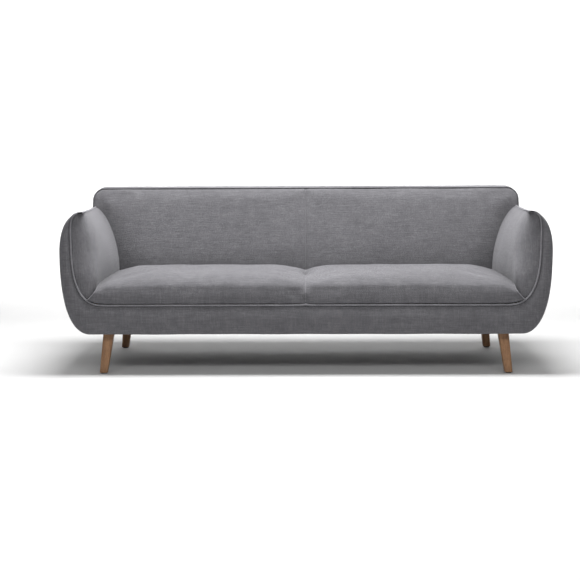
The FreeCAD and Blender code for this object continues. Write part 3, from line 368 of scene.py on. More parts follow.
# ---------------------------------------------------------------- materials
class Shader:
    """A node material, built a node at a time."""

    def __init__(self, name):
        self.material = bpy.data.materials.new(name)
        self.material.use_nodes = True
        self.tree = self.material.node_tree
        self.surface = self.tree.nodes["Principled BSDF"]
        self.place = self.add("ShaderNodeTexCoord").outputs["Object"]
        normal = self.add("ShaderNodeNewGeometry").outputs["Normal"]
        parts = self.add("ShaderNodeSeparateXYZ", Vector=normal)
        self.facing = [self.math("MULTIPLY", p, p) for p in parts.outputs]

    def add(self, kind, settings=None, **inputs):
        node = self.tree.nodes.new(kind)
        for key, setting in (settings or {}).items():
            setattr(node, key, setting)
        for key, given in inputs.items():
            self.set(node.inputs[key.replace("_", " ")], given)
        return node

    def set(self, socket, given):
        if isinstance(given, bpy.types.NodeSocket):
            self.tree.links.new(given, socket)
        else:
            socket.default_value = given

    def math(self, operation, first, second=0.0, third=0.0):
        node = self.add("ShaderNodeMath", {"operation": operation})
        for socket, given in zip(node.inputs, (first, second, third)):
            self.set(socket, given)
        return node.outputs[0]

    def noise(self, scale, detail=2.0, roughness=0.5, stretch=(1, 1, 1), shift=0.0):
        """Noise over the object's own coordinates, longer along the axes with a small stretch."""
        moved = self.add(
            "ShaderNodeMapping",
            Vector=self.place,
            Scale=tuple(scale * s for s in stretch),
            Location=(shift, shift, shift),
        )
        texture = self.add(
            "ShaderNodeTexNoise",
            Vector=moved.outputs[0],
            Scale=1.0,
            Detail=detail,
            Roughness=roughness,
        )
        return texture.outputs["Fac"]

    def ramp(self, given, low, high, start=0.0, end=1.0):
        node = self.add("ShaderNodeMapRange", Value=given)
        node.inputs["From Min"].default_value = low
        node.inputs["From Max"].default_value = high
        node.inputs["To Min"].default_value = start
        node.inputs["To Max"].default_value = end
        return node.outputs[0]

    def colours(self, given, *stops):
        node = self.add("ShaderNodeValToRGB", Fac=given)
        ramp = node.color_ramp
        while len(ramp.elements) < len(stops):
            ramp.elements.new(0.5)
        for element, (place, colour) in zip(ramp.elements, stops):
            element.position = place
            element.color = (*colour, 1.0)
        return node.outputs["Color"]

    def multiply(self, colour, share):
        node = self.add("ShaderNodeMix", {"data_type": "RGBA", "blend_type": "MULTIPLY"})
        node.inputs[0].default_value = 1.0
        self.set(node.inputs[6], colour)
        self.set(node.inputs[7], share)
        return node.outputs[2]

    def bump(self, height, distance, strength):
        node = self.add("ShaderNodeBump", Height=height, Distance=distance, Strength=strength)
        return node.outputs[0]

    def finish(self, colour, roughness, normal=None, **uniform):
        self.set(self.surface.inputs["Base Color"], colour)
        self.set(self.surface.inputs["Roughness"], roughness)
        if normal is not None:
            self.set(self.surface.inputs["Normal"], normal)
        for key, given in uniform.items():
            self.surface.inputs[key.replace("_", " ")].default_value = given
        return self.material


THREAD = 0.0021


def woven(shader, pitch):
    """Threads over and under each other on whichever way the cloth faces, from 0 to 1."""
    axes = shader.add("ShaderNodeSeparateXYZ", Vector=shader.place).outputs
    wobble = shader.math("MULTIPLY", shader.noise(60, 1.0), 3.0)
    waves = []
    for axis in axes:
        turns = shader.math("MULTIPLY_ADD", axis, 2 * math.pi / pitch, wobble)
        waves.append(shader.math("SINE", turns))
    total = None
    for across, along, facing in ((1, 2, 0), (0, 2, 1), (0, 1, 2)):
        crossing = shader.math("MULTIPLY", waves[across], waves[along])
        share = shader.math("MULTIPLY", crossing, shader.facing[facing])
        total = share if total is None else shader.math("ADD", total, share)
    return shader.math("MULTIPLY_ADD", total, 0.5, 0.5)


def slubs(shader, width, length, shift=0.0):
    """Thick and thin threads: streaks along each axis that lies in the cloth."""
    total = None
    for axis in range(3):
        stretch = [1.0, 1.0, 1.0]
        stretch[axis] = width / length
        streak = shader.noise(1 / width, 2.0, 0.55, stretch, shift + 7.3 * axis)
        lies_in = shader.math("SUBTRACT", 1.0, shader.facing[axis])
        share = shader.math("MULTIPLY", shader.math("SUBTRACT", streak, 0.5), lies_in)
        total = share if total is None else shader.math("ADD", total, share)
    return total


def chenille(name, tone=1.0, shift=0.0):
    """Soft woven upholstery: threads, slubs, a brushed nap, a little uneven colour, and painted
    shade darkening its crevices.
    """
    shader = Shader(name)
    weave = woven(shader, THREAD)
    coarse = slubs(shader, 0.005, 0.075, shift)
    fine = slubs(shader, 0.0016, 0.024, shift + 3.0)
    nap = shader.noise(26, 3.0, 0.6, shift=shift)
    mottle = shader.noise(5, 2.0, 0.5, shift=shift + 11)
    value = shader.math("MULTIPLY_ADD", coarse, 0.36, 0.5)
    value = shader.math("MULTIPLY_ADD", fine, 0.34, value)
    value = shader.math("ADD", value, shader.math("MULTIPLY_ADD", nap, 0.30, -0.15))
    value = shader.math("ADD", value, shader.math("MULTIPLY_ADD", mottle, 0.20, -0.10))
    value = shader.math("ADD", value, shader.math("MULTIPLY_ADD", weave, 0.12, -0.06))
    dark, mid, light = (
        tuple(c * tone for c in rgb)
        for rgb in ((0.038, 0.037, 0.041), (0.092, 0.090, 0.097), (0.178, 0.176, 0.186))
    )
    colour = shader.colours(value, (0.0, dark), (0.5, mid), (1.0, light))
    # painted shade: ambient occlusion darkens the colour in crevices, under the arms, at the foot
    # of the back and between pads
    crevice = shader.add("ShaderNodeAmbientOcclusion", {"samples": 6}, Distance=0.16)
    painted_crevice_shade = shader.ramp(crevice.outputs["AO"], 0.30, 0.92, 0.30, 1.0)
    colour = shader.multiply(colour, painted_crevice_shade)
    roughness = shader.ramp(value, 0.0, 1.0, 0.96, 0.82)
    height = shader.math("MULTIPLY_ADD", coarse, 1.1, shader.math("MULTIPLY", weave, 0.5))
    height = shader.math("MULTIPLY_ADD", fine, 0.8, height)
    height = shader.math("MULTIPLY_ADD", nap, 0.5, height)
    normal = shader.bump(height, 0.0011, 0.8)
    return shader.finish(
        colour,
        roughness,
        normal,
        Sheen_Weight=0.22,
        Sheen_Roughness=0.45,
        Sheen_Tint=(0.86, 0.86, 0.90, 1.0),
        Specular_IOR_Level=0.25,
    )


def oiled_wood(name):
    """Brown oak: long grain, darker pores and a soft oiled finish."""
    shader = Shader(name)
    rings = shader.noise(38, 3.0, 0.6, (1, 1, 0.06))
    grain = shader.noise(260, 3.0, 0.65, (1, 1, 0.035), 4.0)
    pores = shader.noise(900, 1.0, 0.5, (1, 1, 0.05), 9.0)
    value = shader.math("MULTIPLY_ADD", rings, 0.9, -0.18)
    value = shader.math("MULTIPLY_ADD", grain, 0.55, value)
    colour = shader.colours(
        value,
        (0.15, (0.075, 0.034, 0.014)),
        (0.45, (0.185, 0.088, 0.036)),
        (0.85, (0.320, 0.175, 0.080)),
    )
    dark = shader.ramp(pores, 0.30, 0.42, 0.55, 1.0)
    colour = shader.multiply(colour, dark)
    roughness = shader.ramp(grain, 0.2, 0.8, 0.36, 0.56)
    normal = shader.bump(shader.math("MULTIPLY_ADD", dark, 0.5, grain), 0.0003, 0.5)
    return shader.finish(
        colour, roughness, normal, Coat_Weight=0.12, Coat_Roughness=0.35
    )


def plain_timber(name, light, dark, stretch):
    shader = Shader(name)
    grain = shader.noise(90, 4.0, 0.65, stretch)
    knots = shader.noise(9, 2.0, 0.5, stretch, 3.0)
    value = shader.math("MULTIPLY_ADD", knots, 0.5, shader.math("MULTIPLY", grain, 0.6))
    colour = shader.colours(value, (0.25, dark), (0.75, light))
    normal = shader.bump(grain, 0.0004, 0.5)
    return shader.finish(colour, shader.ramp(grain, 0.2, 0.8, 0.6, 0.8), normal)


def speckled(name, light, dark, grain, rough, depth=0.0004, **uniform):
    """A fine even surface for metal, plastic, foam, felt and webbing."""
    shader = Shader(name)
    fleck = shader.noise(grain, 4.0, 0.65)
    cloud = shader.noise(grain / 18, 2.0, 0.5, shift=5.0)
    value = shader.math("MULTIPLY_ADD", cloud, 0.5, shader.math("MULTIPLY", fleck, 0.5))
    colour = shader.colours(value, (0.3, dark), (0.7, light))
    roughness = shader.ramp(fleck, 0.2, 0.8, rough[0], rough[1])
    return shader.finish(colour, roughness, shader.bump(fleck, depth, 0.5), **uniform)


def dust_cloth(name):
    """Black spun lining with a fine pressed dot pattern."""
    shader = Shader(name)
    weave = woven(shader, 0.0016)
    cloud = shader.noise(40, 3.0, 0.6)
    value = shader.math("MULTIPLY_ADD", cloud, 0.6, shader.math("MULTIPLY", weave, 0.4))
    colour = shader.colours(value, (0.2, (0.012, 0.012, 0.013)), (0.8, (0.045, 0.045, 0.048)))
    return shader.finish(colour, 0.9, shader.bump(weave, 0.0004, 0.5))


FABRIC = chenille("sofa_fabric")
# a lighter copy of the upholstery: painted highlight along the piping and the seam ridges
PIPING_PAINTED_HIGHLIGHT = chenille("sofa_piping_painted_highlight", 1.55, 5.0)
LEG_WOOD = oiled_wood("leg_wood")
FRAME_WOOD = plain_timber(
    "frame_pine", (0.62, 0.46, 0.28), (0.42, 0.27, 0.14), (0.05, 1, 1)
)
BOARD = plain_timber("frame_board", (0.50, 0.36, 0.22), (0.30, 0.19, 0.10), (1, 0.06, 1))
FOAM = speckled("foam", (0.78, 0.72, 0.52), (0.62, 0.56, 0.38), 900, (0.85, 0.95))
FELT = speckled("felt", (0.30, 0.28, 0.26), (0.14, 0.13, 0.12), 700, (0.9, 1.0), 0.001)
WEBBING = speckled("webbing", (0.10, 0.10, 0.11), (0.04, 0.04, 0.045), 600, (0.8, 0.9))
STEEL = speckled("steel", (0.55, 0.55, 0.56), (0.36, 0.36, 0.37), 500, (0.28, 0.45), Metallic=1.0)
PLATE = speckled("black_plate", (0.05, 0.05, 0.055), (0.025, 0.025, 0.03), 800, (0.4, 0.55))
GLIDE = speckled("glide", (0.045, 0.04, 0.036), (0.022, 0.02, 0.018), 700, (0.4, 0.6))
DUST = dust_cloth("dust_cloth")

SLOT_MATERIALS = {
    "upholstery": FABRIC,
    "piping": PIPING_PAINTED_HIGHLIGHT,
    "leg_wood": LEG_WOOD,
    "frame_wood": FRAME_WOOD,
    "frame_board": BOARD,
    "foam": FOAM,
    "felt": FELT,
    "webbing": WEBBING,
    "dust_cloth": DUST,
    "steel": STEEL,
    "plate_steel": PLATE,
    "glide_plastic": GLIDE,
}


def dress_cad_nodes():
    """Every node of the frame takes its own material."""
    slots = {entry["node"]: entry["material_slot"] for entry in frame["record"]["subparts"]}
    for node, obj in frame["nodes"].items():
        material = SLOT_MATERIALS[slots[node]]
        if not obj.material_slots:
            obj.data.materials.append(material)
        for held in obj.material_slots:
            held.material = material


def enter(obj, slot, *nodes):
    """Dress a piece, fix it to the sofa, and hide the nodes that it stands for."""
    obj.data.materials.clear()
    obj.data.materials.append(SLOT_MATERIALS[slot])
    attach(obj, "root")
    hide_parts(*nodes)


# ---------------------------------------------------------------- the outer shell
def shell_turns():
    """Turns round the arm from the foot (-1) to the ridge (1)."""
    below, above = 30, 22
    return [-1 + i / below for i in range(below)] + [i / above for i in range(above + 1)]


def edge_radius(width):
    """The shell's front edge is rounder where its face is wide."""
    return min(SHELL_EDGE, 0.45 * width)


FACE_SWELL = 0.008
FACE_TUCK = 0.004
TURN_STEPS = 6


def face_column(outer, inner):
    """One run over the shell's front, from the piping to where it has turned the edge."""
    width = (outer - inner).length
    edge = edge_radius(width)
    inward = (inner - outer).normalized() if width > 1e-6 else Vector((0, 0))
    rim = outer + inward * edge
    column = []
    across = 14
    for k in range(across + 1):
        share = k / across
        at = inner.lerp(rim, share)
        bulge = math.sin(math.pi * min(1, share * 0.85 + 0.05))
        swell_out = FACE_SWELL * bulge * min(1, width / 0.05)
        tuck = FACE_TUCK * (1 - share) ** 6
        column.append(Vector((at.x, FRONT - swell_out + tuck, at.y)))
    settle = column[-1].y
    for k in range(1, TURN_STEPS + 1):
        angle = math.pi / 2 * k / TURN_STEPS
        at = rim - inward * edge * math.sin(angle)
        y = mix(settle, FRONT, k / TURN_STEPS) + edge * (1 - math.cos(angle))
        column.append(Vector((at.x, y, at.y)))
    return column


# the point that the barrel's rear edge turns in towards, and how far it goes on behind
BARREL_HEART = 0.72
REAR_FLANGE = 0.050


def barrel_column(turn):
    """One run along the outside of the arm, round its rear edge and in behind it."""
    front_point = barrel(turn, FRONT)
    width = (front_point - mouth(turn)).length
    start = FRONT + edge_radius(width)
    rear_point = barrel(turn, BARREL_REAR_Y)
    in_back = turn > 0 and rear_point.x < BACK_HALF + 0.012
    if in_back:
        end = back_y(rear_point.y) + 0.030
    else:
        end = rear_y(rear_point.y) - REAR_EDGE - PANEL_RISE
    column = []
    steps = 34
    for k in range(1, steps + 1):
        y = mix(start, end, k / steps)
        at = barrel(turn, min(y, BARREL_REAR_Y))
        column.append(Vector((at.x, y, at.y)))
    last = column[-1]
    inward = Vector((BARREL_HEART, WIDEST_Z)) - Vector((last.x, last.z))
    inward.normalize()
    edge = 0.0 if in_back else REAR_EDGE
    for k in range(1, TURN_STEPS + 1):
        angle = math.pi / 2 * k / TURN_STEPS
        reach = edge * (1 - math.cos(angle))
        run = edge * math.sin(angle)
        column.append(
            Vector((last.x + inward.x * reach, last.y + run, last.z + inward.y * reach))
        )
    flange = 0.0 if in_back else REAR_FLANGE
    after = column[-1]
    column.append(Vector((after.x + inward.x * flange, after.y, after.z + inward.y * flange)))
    return column


BAND_COLUMNS = 70
HEM_STEPS = (Vector((0, 0.008, 0)), Vector((0, 0.016, 0)), Vector((0, 0.024, 0)))


def outer_shell():
    """The band under the seat, the arm fronts and the barrel sides, sewn as one."""
    turns = shell_turns()
    band = []
    for i in range(BAND_COLUMNS):
        share = i / BAND_COLUMNS
        outer = Vector((FOOT_X * share, BASE))
        inner = Vector((MOUTH_BEND[0] * share, WELT_Z))
        band.append(face_column(outer, inner))
    points, faces = [], []

    def add_grid(grid):
        start = len(points)
        width = len(grid[0])
        for column in grid:
            points.extend(column)
        faces.extend(grid_faces(len(grid), width, lambda i, j: start + i * width + j))

    arm_fronts = [face_column(barrel(t, FRONT), mouth(t)) for t in turns]
    for side in (-1, 1):
        add_grid([[mirrored(p, side) for p in run] for run in band + arm_fronts])
        ends = [run[-1] for run in band + arm_fronts[:1]]
        hems = [[end, *(end + step for step in HEM_STEPS)] for end in ends]
        add_grid([[mirrored(p, side) for p in hem] for hem in hems])
        sides = []
        for turn, run in zip(turns, arm_fronts):
            sides.append([mirrored(p, side) for p in [run[-1], *barrel_column(turn)]])
        add_grid(sides)
    obj = add_object("outer_shell", points, faces)
    finish_mesh(obj)
    soften(obj, 0.0012, 0.16, 2.0)
    wall = obj.modifiers.new("Wall", "SOLIDIFY")
    wall.thickness = SHELL_THICKNESS
    wall.offset = -1
    enter(
        obj, "upholstery", "arm_outer_cover_left", "arm_outer_cover_right",
        "front_band_cover", "front_padding",
    )


# ---------------------------------------------------------------- the arms' inner pads
PAD_ROLL = (0.150, 0.050)
PAD_BOTTOM = 0.335
PAD_CURVE_HEIGHT = 0.284
PAD_POWER = 1.6
PAD_FOOT_FRONT = 0.898
PAD_FOOT_REAR = 0.874


def pad_foot_x(y):
    """How far from the middle the pad's seat side is: it narrows the seat towards the back."""
    return mix(PAD_FOOT_FRONT, PAD_FOOT_REAR, ease((y + 0.42) / 0.57))


def pad_face(y, z):
    """The pad's inner side behind its rolled front."""
    top = ridge(y)
    drop = clamp((top.y - z) / PAD_CURVE_HEIGHT)
    curve = (1 - (1 - drop) ** PAD_POWER) ** (1 / PAD_POWER)
    return top.x - (top.x - pad_foot_x(y)) * curve


def pad_roll(height):
    """How far back the pad rolls from the piping: far at the top, little beside the seat."""
    return mix(PAD_ROLL[1], PAD_ROLL[0], ease((height - 0.36) / 0.22))


PAD_LOW_TURN = -0.86
ROLL_SHARE = 0.32
CURVE_SHARE = 0.80


def arm_pad_point(u, v):
    """u runs from the ridge down to the seat, v from the piping back to the sofa's back."""
    front = mouth(mix(1.0, PAD_LOW_TURN, u))
    front = Vector((front.x - 0.001, max(front.y, WELT_Z + 0.012)))
    roll = pad_roll(front.y)
    if v < ROLL_SHARE:
        angle = math.pi / 2 * v / ROLL_SHARE
        y = MOUTH_Y + roll * (1 - math.cos(angle))
        turned = math.sin(angle)
    else:
        y = None
        turned = 1.0
    if u < CURVE_SHARE:
        angle = math.pi / 2 * u / CURVE_SHARE
        drop = 1 - math.cos(angle) ** (2 / PAD_POWER)
    else:
        drop = 1.0
    extra = max(0.0, (u - CURVE_SHARE) / (1 - CURVE_SHARE))
    if y is None:
        level = mix(RIDGE_REAR[1], RIDGE_REAR[1] - PAD_CURVE_HEIGHT, drop)
        level = mix(level, PAD_BOTTOM, extra)
        end = back_y(level) - 0.002
        y = mix(MOUTH_Y + roll, end, (v - ROLL_SHARE) / (1 - ROLL_SHARE))
    top = ridge(y)
    z = mix(top.y, top.y - PAD_CURVE_HEIGHT, drop)
    z = mix(z, PAD_BOTTOM, extra)
    return Vector((mix(front.x, pad_face(y, z), turned), y, mix(front.y, z, turned)))


def arm_pad(name, side):
    def surface(u, v):
        return mirrored(arm_pad_point(u, v), side)

    def behind(u, v, point):
        return point + Vector((side * 0.028, 0.010, 0.0))

    obj = closed_pad(f"arm_pad_{name}", surface, behind, 56, 84)
    swell(obj, 3.0, 0.010)
    soften(obj, 0.0016, 0.085, 4.0 + side)
    finish_mesh(obj)
    subdivide(obj)
    enter(obj, "upholstery", f"arm_inner_cover_{name}", f"arm_foam_{name}")


# ---------------------------------------------------------------- the seat pads
# a seat pad's outline at its middle, from the piping over the top to the back: (depth, height)
SEAT_PROFILE = (
    (MOUTH_Y - 0.003, WELT_Z + 0.004),
    (FRONT - 0.002, WELT_Z + 0.026),
    (FRONT - 0.003, WELT_Z + 0.064),
    (FRONT + 0.004, WELT_Z + 0.090),
    (FRONT + 0.045, WELT_Z + 0.110),
    (FRONT + 0.150, WELT_Z + 0.124),
    (FRONT + 0.320, WELT_Z + 0.127),
    (FRONT + 0.470, WELT_Z + 0.114),
    (FRONT + 0.545, WELT_Z + 0.102),
    (FRONT + 0.572, WELT_Z + 0.085),
    (FRONT + 0.566, WELT_Z + 0.055),
)


def smooth_run(corners, count):
    """Evenly spaced points on a smooth curve through the given ones."""
    dense = []
    for i in range(len(corners) - 1):
        before = Vector(corners[max(i - 1, 0)])
        start, end = Vector(corners[i]), Vector(corners[i + 1])
        after = Vector(corners[min(i + 2, len(corners) - 1)])
        for k in range(12):
            t = k / 12
            dense.append(
                0.5
                * (
                    2 * start
                    + (end - before) * t
                    + (2 * before - 5 * start + 4 * end - after) * t**2
                    + (3 * start - before - 3 * end + after) * t**3
                )
            )
    dense.append(Vector(corners[-1]))
    lengths = [0.0]
    for a, b in zip(dense, dense[1:]):
        lengths.append(lengths[-1] + (b - a).length)
    result = []
    i = 0
    for k in range(count):
        want = lengths[-1] * k / (count - 1)
        while i < len(dense) - 2 and lengths[i + 1] < want:
            i += 1
        share = (want - lengths[i]) / (lengths[i + 1] - lengths[i])
        result.append(dense[i].lerp(dense[i + 1], clamp(share)))
    return result


SEAT_COLUMNS = 92
SEAT_ROWS = 108
SEAT_RUN = smooth_run(SEAT_PROFILE, SEAT_COLUMNS)
# the pad's outer end, where it lies against the arm pad: (width, depth, height)
SEAT_END = smooth_run(
    (
        (0.9460, MOUTH_Y - 0.003, 0.3190),
        (0.9250, FRONT - 0.008, 0.3330),
        (0.8990, FRONT + 0.002, 0.3640),
        (0.8960, FRONT + 0.080, 0.3840),
        (0.8860, FRONT + 0.315, 0.3950),
        (0.8760, FRONT + 0.500, 0.3970),
        (0.8740, FRONT + 0.550, 0.3900),
        (0.8740, FRONT + 0.560, 0.3500),
    ),
    SEAT_COLUMNS,
)
SEAM_X = -0.0034
SEAM_WIDTH = 0.050
SEAM_SINK = 0.032
END_WIDTH = 0.078
PULL_POWER = 2.3
# the point of a pad's section that its middle seam draws in towards: (depth, height)
SEAT_MIDDLE = Vector((-0.14, 0.345))


def seat_point(u, v):
    """u runs from the middle seam to the arm, v from the piping over the top to the back."""
    column = round(v * (SEAT_COLUMNS - 1))
    base, end = SEAT_RUN[column], SEAT_END[column]
    x = mix(SEAM_X, end.x, u)
    above_welt = base.y - WELT_Z
    lift = 0.004 * math.sin(math.pi * u) * ease(above_welt / 0.12)
    low = (mouth_z(x) - WELT_Z) * (1 - ease(above_welt / 0.10))
    place = Vector((base.x, base.y + lift + low))
    seam = clamp(1 - x / SEAM_WIDTH) ** PULL_POWER
    sink = mix(0.004, SEAM_SINK, ease((above_welt - 0.045) / 0.055)) * ease(above_welt / 0.02)
    place += (SEAT_MIDDLE - place).normalized() * sink * seam
    near_end = clamp(1 - (end.x - x) / END_WIDTH) ** PULL_POWER
    place = place.lerp(Vector((end.y, end.z)), near_end)
    near_piping = math.exp(-max(0.0, above_welt) / 0.020)
    pucker = 0.0012 * noise.noise(Vector((x * 34, v * 2, 5.0))) * near_piping * ease(v * 40)
    return Vector((x, place.x + pucker, place.y))


def seat_pad(name, side):
    def surface(u, v):
        return mirrored(seat_point(u, v), side)

    def behind(u, v, point):
        return Vector((point.x, mix(point.y, -0.13, 0.06), DECK + 0.004))

    obj = closed_pad(f"seat_pad_{name}", surface, behind, SEAT_ROWS, SEAT_COLUMNS)
    swell(obj, 3.0, 0.009)
    soften(obj, 0.0022, 0.11, 8.0 + side)
    finish_mesh(obj)
    subdivide(obj)
    enter(obj, "upholstery", f"seat_cover_{name}", f"seat_foam_{name}")


# ---------------------------------------------------------------- the back
BACK_HEIGHT = (BACK_SEAM_Z - DECK) / math.cos(BACK_LEAN)
BACK_BOTTOM = 0.050


def corner_half(over):
    """Half the back's width this far above the start of its round top outer corner."""
    return BACK_HALF - BACK_CORNER + math.sqrt(max(0.0, BACK_CORNER**2 - over**2))


def back_outline_x(up):
    """Half the back's width at a height along its lean."""
    over = up - (BACK_HEIGHT - BACK_CORNER)
    return corner_half(over) if over > 0 else BACK_HALF


def edge_distance(x, up):
    """How far a point of the back's front is inside its rounded outline."""
    corner_x, corner_up = BACK_HALF - BACK_CORNER, BACK_HEIGHT - BACK_CORNER
    if x > corner_x and up > corner_up:
        return BACK_CORNER - math.hypot(x - corner_x, up - corner_up)
    return min(BACK_HALF - x, BACK_HEIGHT - up)


def back_place(x, up, deep):
    along = Vector((0, math.sin(BACK_LEAN), math.cos(BACK_LEAN)))
    inwards = Vector((0, math.cos(BACK_LEAN), -math.sin(BACK_LEAN)))
    return Vector((x, BACK_FACE, DECK)) + along * up + inwards * deep


def back_depth(x, up):
    """How far behind the back's plane its crowned front lies."""
    inside = max(0.0, edge_distance(x, up))
    rounding = 0.015
    near = clamp(1 - inside / rounding)
    roll = SEAM_DEPTH * (1 - math.sqrt(1 - near**2))
    crown = 0.011 * (1 - math.exp(-inside / 0.12))
    seam = clamp(1 - x / 0.010)
    centre = 0.004 * (1 - math.sqrt(1 - seam**2))
    swell_in = 0.002 * (1 - math.exp(-x / 0.05))
    return roll - crown + centre - swell_in + 0.010


def back_pad(name, side):
    rows, columns = 104, 60
    corner_share = 0.22

    def surface(u, v):
        if v > 1 - corner_share:
            angle = math.pi / 2 * (v - 1 + corner_share) / corner_share
            up = BACK_HEIGHT - BACK_CORNER + BACK_CORNER * math.sin(angle)
        else:
            up = mix(BACK_BOTTOM, BACK_HEIGHT - BACK_CORNER, v / (1 - corner_share))
        x = mix(-0.0030, back_outline_x(up), u)
        return mirrored(back_place(x, up, back_depth(x, up)), side)

    def behind(u, v, point):
        return point + Vector((0, 0.055, -0.017))

    obj = closed_pad(f"back_pad_{name}", surface, behind, rows, columns)
    swell(obj, 2.0, 0.005)
    soften(obj, 0.0016, 0.14, 12.0 + side)
    finish_mesh(obj)
    subdivide(obj)
    enter(obj, "upholstery", f"back_cover_{name}", f"back_foam_{name}")


def arch(start_z):
    """The run up one end of the back, over its top and down the other end."""
    centre = Vector((BACK_HALF - BACK_CORNER, BACK_SEAM_Z - BACK_CORNER))
    end_steps, corner_steps, top_steps = 10, 12, 90
    run = []
    for k in range(end_steps):
        run.append(Vector((BACK_HALF, mix(start_z, centre.y, k / end_steps))))
    for k in range(corner_steps + 1):
        angle = math.pi / 2 * k / corner_steps
        run.append(centre + BACK_CORNER * Vector((math.cos(angle), math.sin(angle))))
    for k in range(1, top_steps + 1):
        run.append(Vector((mix(centre.x, 0, k / top_steps), BACK_SEAM_Z)))
    return run + [Vector((-p.x, p.y)) for p in run[-2::-1]]


def boxing():
    """The strip over the top and ends of the back, softly domed between its two seams."""
    run = arch(0.640)
    rows = 16
    points = []
    for i, at in enumerate(run):
        before, after = run[max(i - 1, 0)], run[min(i + 1, len(run) - 1)]
        way = (after - before).normalized()
        out = Vector((way.y, -way.x))
        for k in range(rows + 1):
            share = k / rows
            start = back_y(at.y) + SEAM_DEPTH + 0.006
            y = mix(start, rear_y(at.y) - 0.006, share)
            dome = 0.0075 * max(0.0, math.sin(math.pi * share)) ** 0.6 - 0.002
            place = at + out * dome
            points.append(Vector((place.x, y, place.y)))
    obj = add_object("back_boxing_strip", points, grid_faces(len(run), rows + 1))
    finish_mesh(obj)
    soften(obj, 0.0010, 0.12, 21.0)
    wall = obj.modifiers.new("Wall", "SOLIDIFY")
    wall.thickness = SHELL_THICKNESS
    wall.offset = -1
    enter(obj, "upholstery", "back_boxing")


def rear_panel_half(z):
    """Half the width of the outside back at a height."""
    over = z - (BACK_SEAM_Z - BACK_CORNER)
    if over > 0:
        return corner_half(over)
    return min(BACK_HALF, barrel_x(z) - 0.030)


def rear_panel():
    rows, columns = 120, 66
    corner_share = 0.20
    low = BASE + 0.002

    def surface(u, v):
        if v > 1 - corner_share:
            angle = math.pi / 2 * (v - 1 + corner_share) / corner_share
            z = BACK_SEAM_Z - BACK_CORNER + BACK_CORNER * math.sin(angle)
        else:
            share = v / (1 - corner_share)
            z = mix(low, BACK_SEAM_Z - BACK_CORNER, share**1.25)
        half = rear_panel_half(z)
        x = mix(half, -half, u)
        inside = min(half - abs(x), BACK_SEAM_Z - z, z - low)
        puff = PANEL_RISE * (1 - math.exp(-max(0.0, inside) / 0.016))
        return Vector((x, rear_y(z) - PANEL_RISE + 0.001 + puff, z))

    def behind(u, v, point):
        return point + Vector((0, -0.008, 0))

    obj = closed_pad("rear_panel", surface, behind, rows, columns)
    point_outwards(obj)
    soften(obj, 0.0010, 0.15, 31.0)
    finish_mesh(obj)
    enter(obj, "upholstery", "back_outer_cover")


# ---------------------------------------------------------------- piping and seams
def piping():
    """One welt round the mouth of the shell: along an arm, down its front and across."""
    half = []
    bend, bend_share = 0.022, 0.22
    ridge_steps, seat_steps = 59, 69
    for k in range(ridge_steps + 1):
        y = mix(RIDGE_REAR_Y - 0.004, FRONT + bend, k / ridge_steps)
        at = ridge(y)
        half.append(Vector((at.x - 0.001, y, at.y - 0.001)))
    turns = [1 - 0.03 * k for k in range(1, 8)]
    turns += [turn for turn in reversed(shell_turns()) if turn < 1 - bend_share]
    for turn in turns:
        at = mouth(turn)
        bent = bend * (1 - math.sin(math.pi / 2 * clamp((1 - turn) / bend_share)))
        half.append(Vector((at.x, FRONT - 0.0005 + bent, at.y)))
    for k in range(1, seat_steps + 1):
        x = MOUTH_BEND[0] * (1 - k / seat_steps)
        pinch = math.exp(-((x / 0.013) ** 2))
        half.append(Vector((x, FRONT - 0.0005 - 0.001 * pinch, WELT_Z + 0.003 * pinch)))
    path = half + [Vector((-p.x, p.y, p.z)) for p in half[-2::-1]]

    def thickness(i, at):
        knot = math.exp(-((at.x / 0.010) ** 2)) if at.z < DECK + 0.02 else 0.0
        uneven = 0.05 * noise.noise(at * 28)
        return WELT_RADIUS * (1 + 0.25 * knot + uneven)

    obj = tube("shell_piping", path, thickness, 12)
    enter(obj, "piping", "front_welt", "arm_welt_left", "arm_welt_right")


def seam_line(name, path, radius):
    """The thin ridge of a sewn seam, drawn in a little at every stitch."""

    def thickness(i, at):
        return radius * (1 + 0.25 * math.sin(i * 2.1))

    obj = tube(name, path, thickness, 8)
    # the seam takes the lighter copy of the fabric, a painted highlight along its ridge
    enter(obj, "piping")


def seams():
    for name, side in SIDES:
        end = []
        for column in range(2, SEAT_COLUMNS - 6):
            at = seat_point(1.0, column / (SEAT_COLUMNS - 1))
            end.append(mirrored(at + Vector((-0.002, -0.0008, 0.0012)), side))
        seam_line(f"seat_end_seam_{name}", end, 0.0020)
    middle = []
    for column in range(1, SEAT_COLUMNS - 12):
        at = seat_point(0.0, column / (SEAT_COLUMNS - 1))
        outwards = (Vector((at.y, at.z)) - SEAT_MIDDLE).normalized() * 0.0004
        middle.append(Vector((0.0, at.y + outwards.x, at.z + outwards.y)))
    seam_line("seat_middle_seam", middle, 0.0015)
    upright = []
    for k in range(80):
        up = mix(BACK_BOTTOM + 0.04, BACK_HEIGHT - 0.001, k / 79)
        upright.append(back_place(0.0, up, back_depth(0.0, up) - 0.0002))
    seam_line("back_middle_seam", upright, 0.0013)
    run = arch(0.655)
    front = [Vector((p.x, back_y(p.y) + SEAM_DEPTH + 0.007, p.y)) for p in run]
    seam_line("back_front_seam", front, 0.0018)
    rear = [Vector((p.x, rear_y(p.y) - 0.007, p.y)) for p in run]
    seam_line("back_rear_seam", rear, 0.0018)


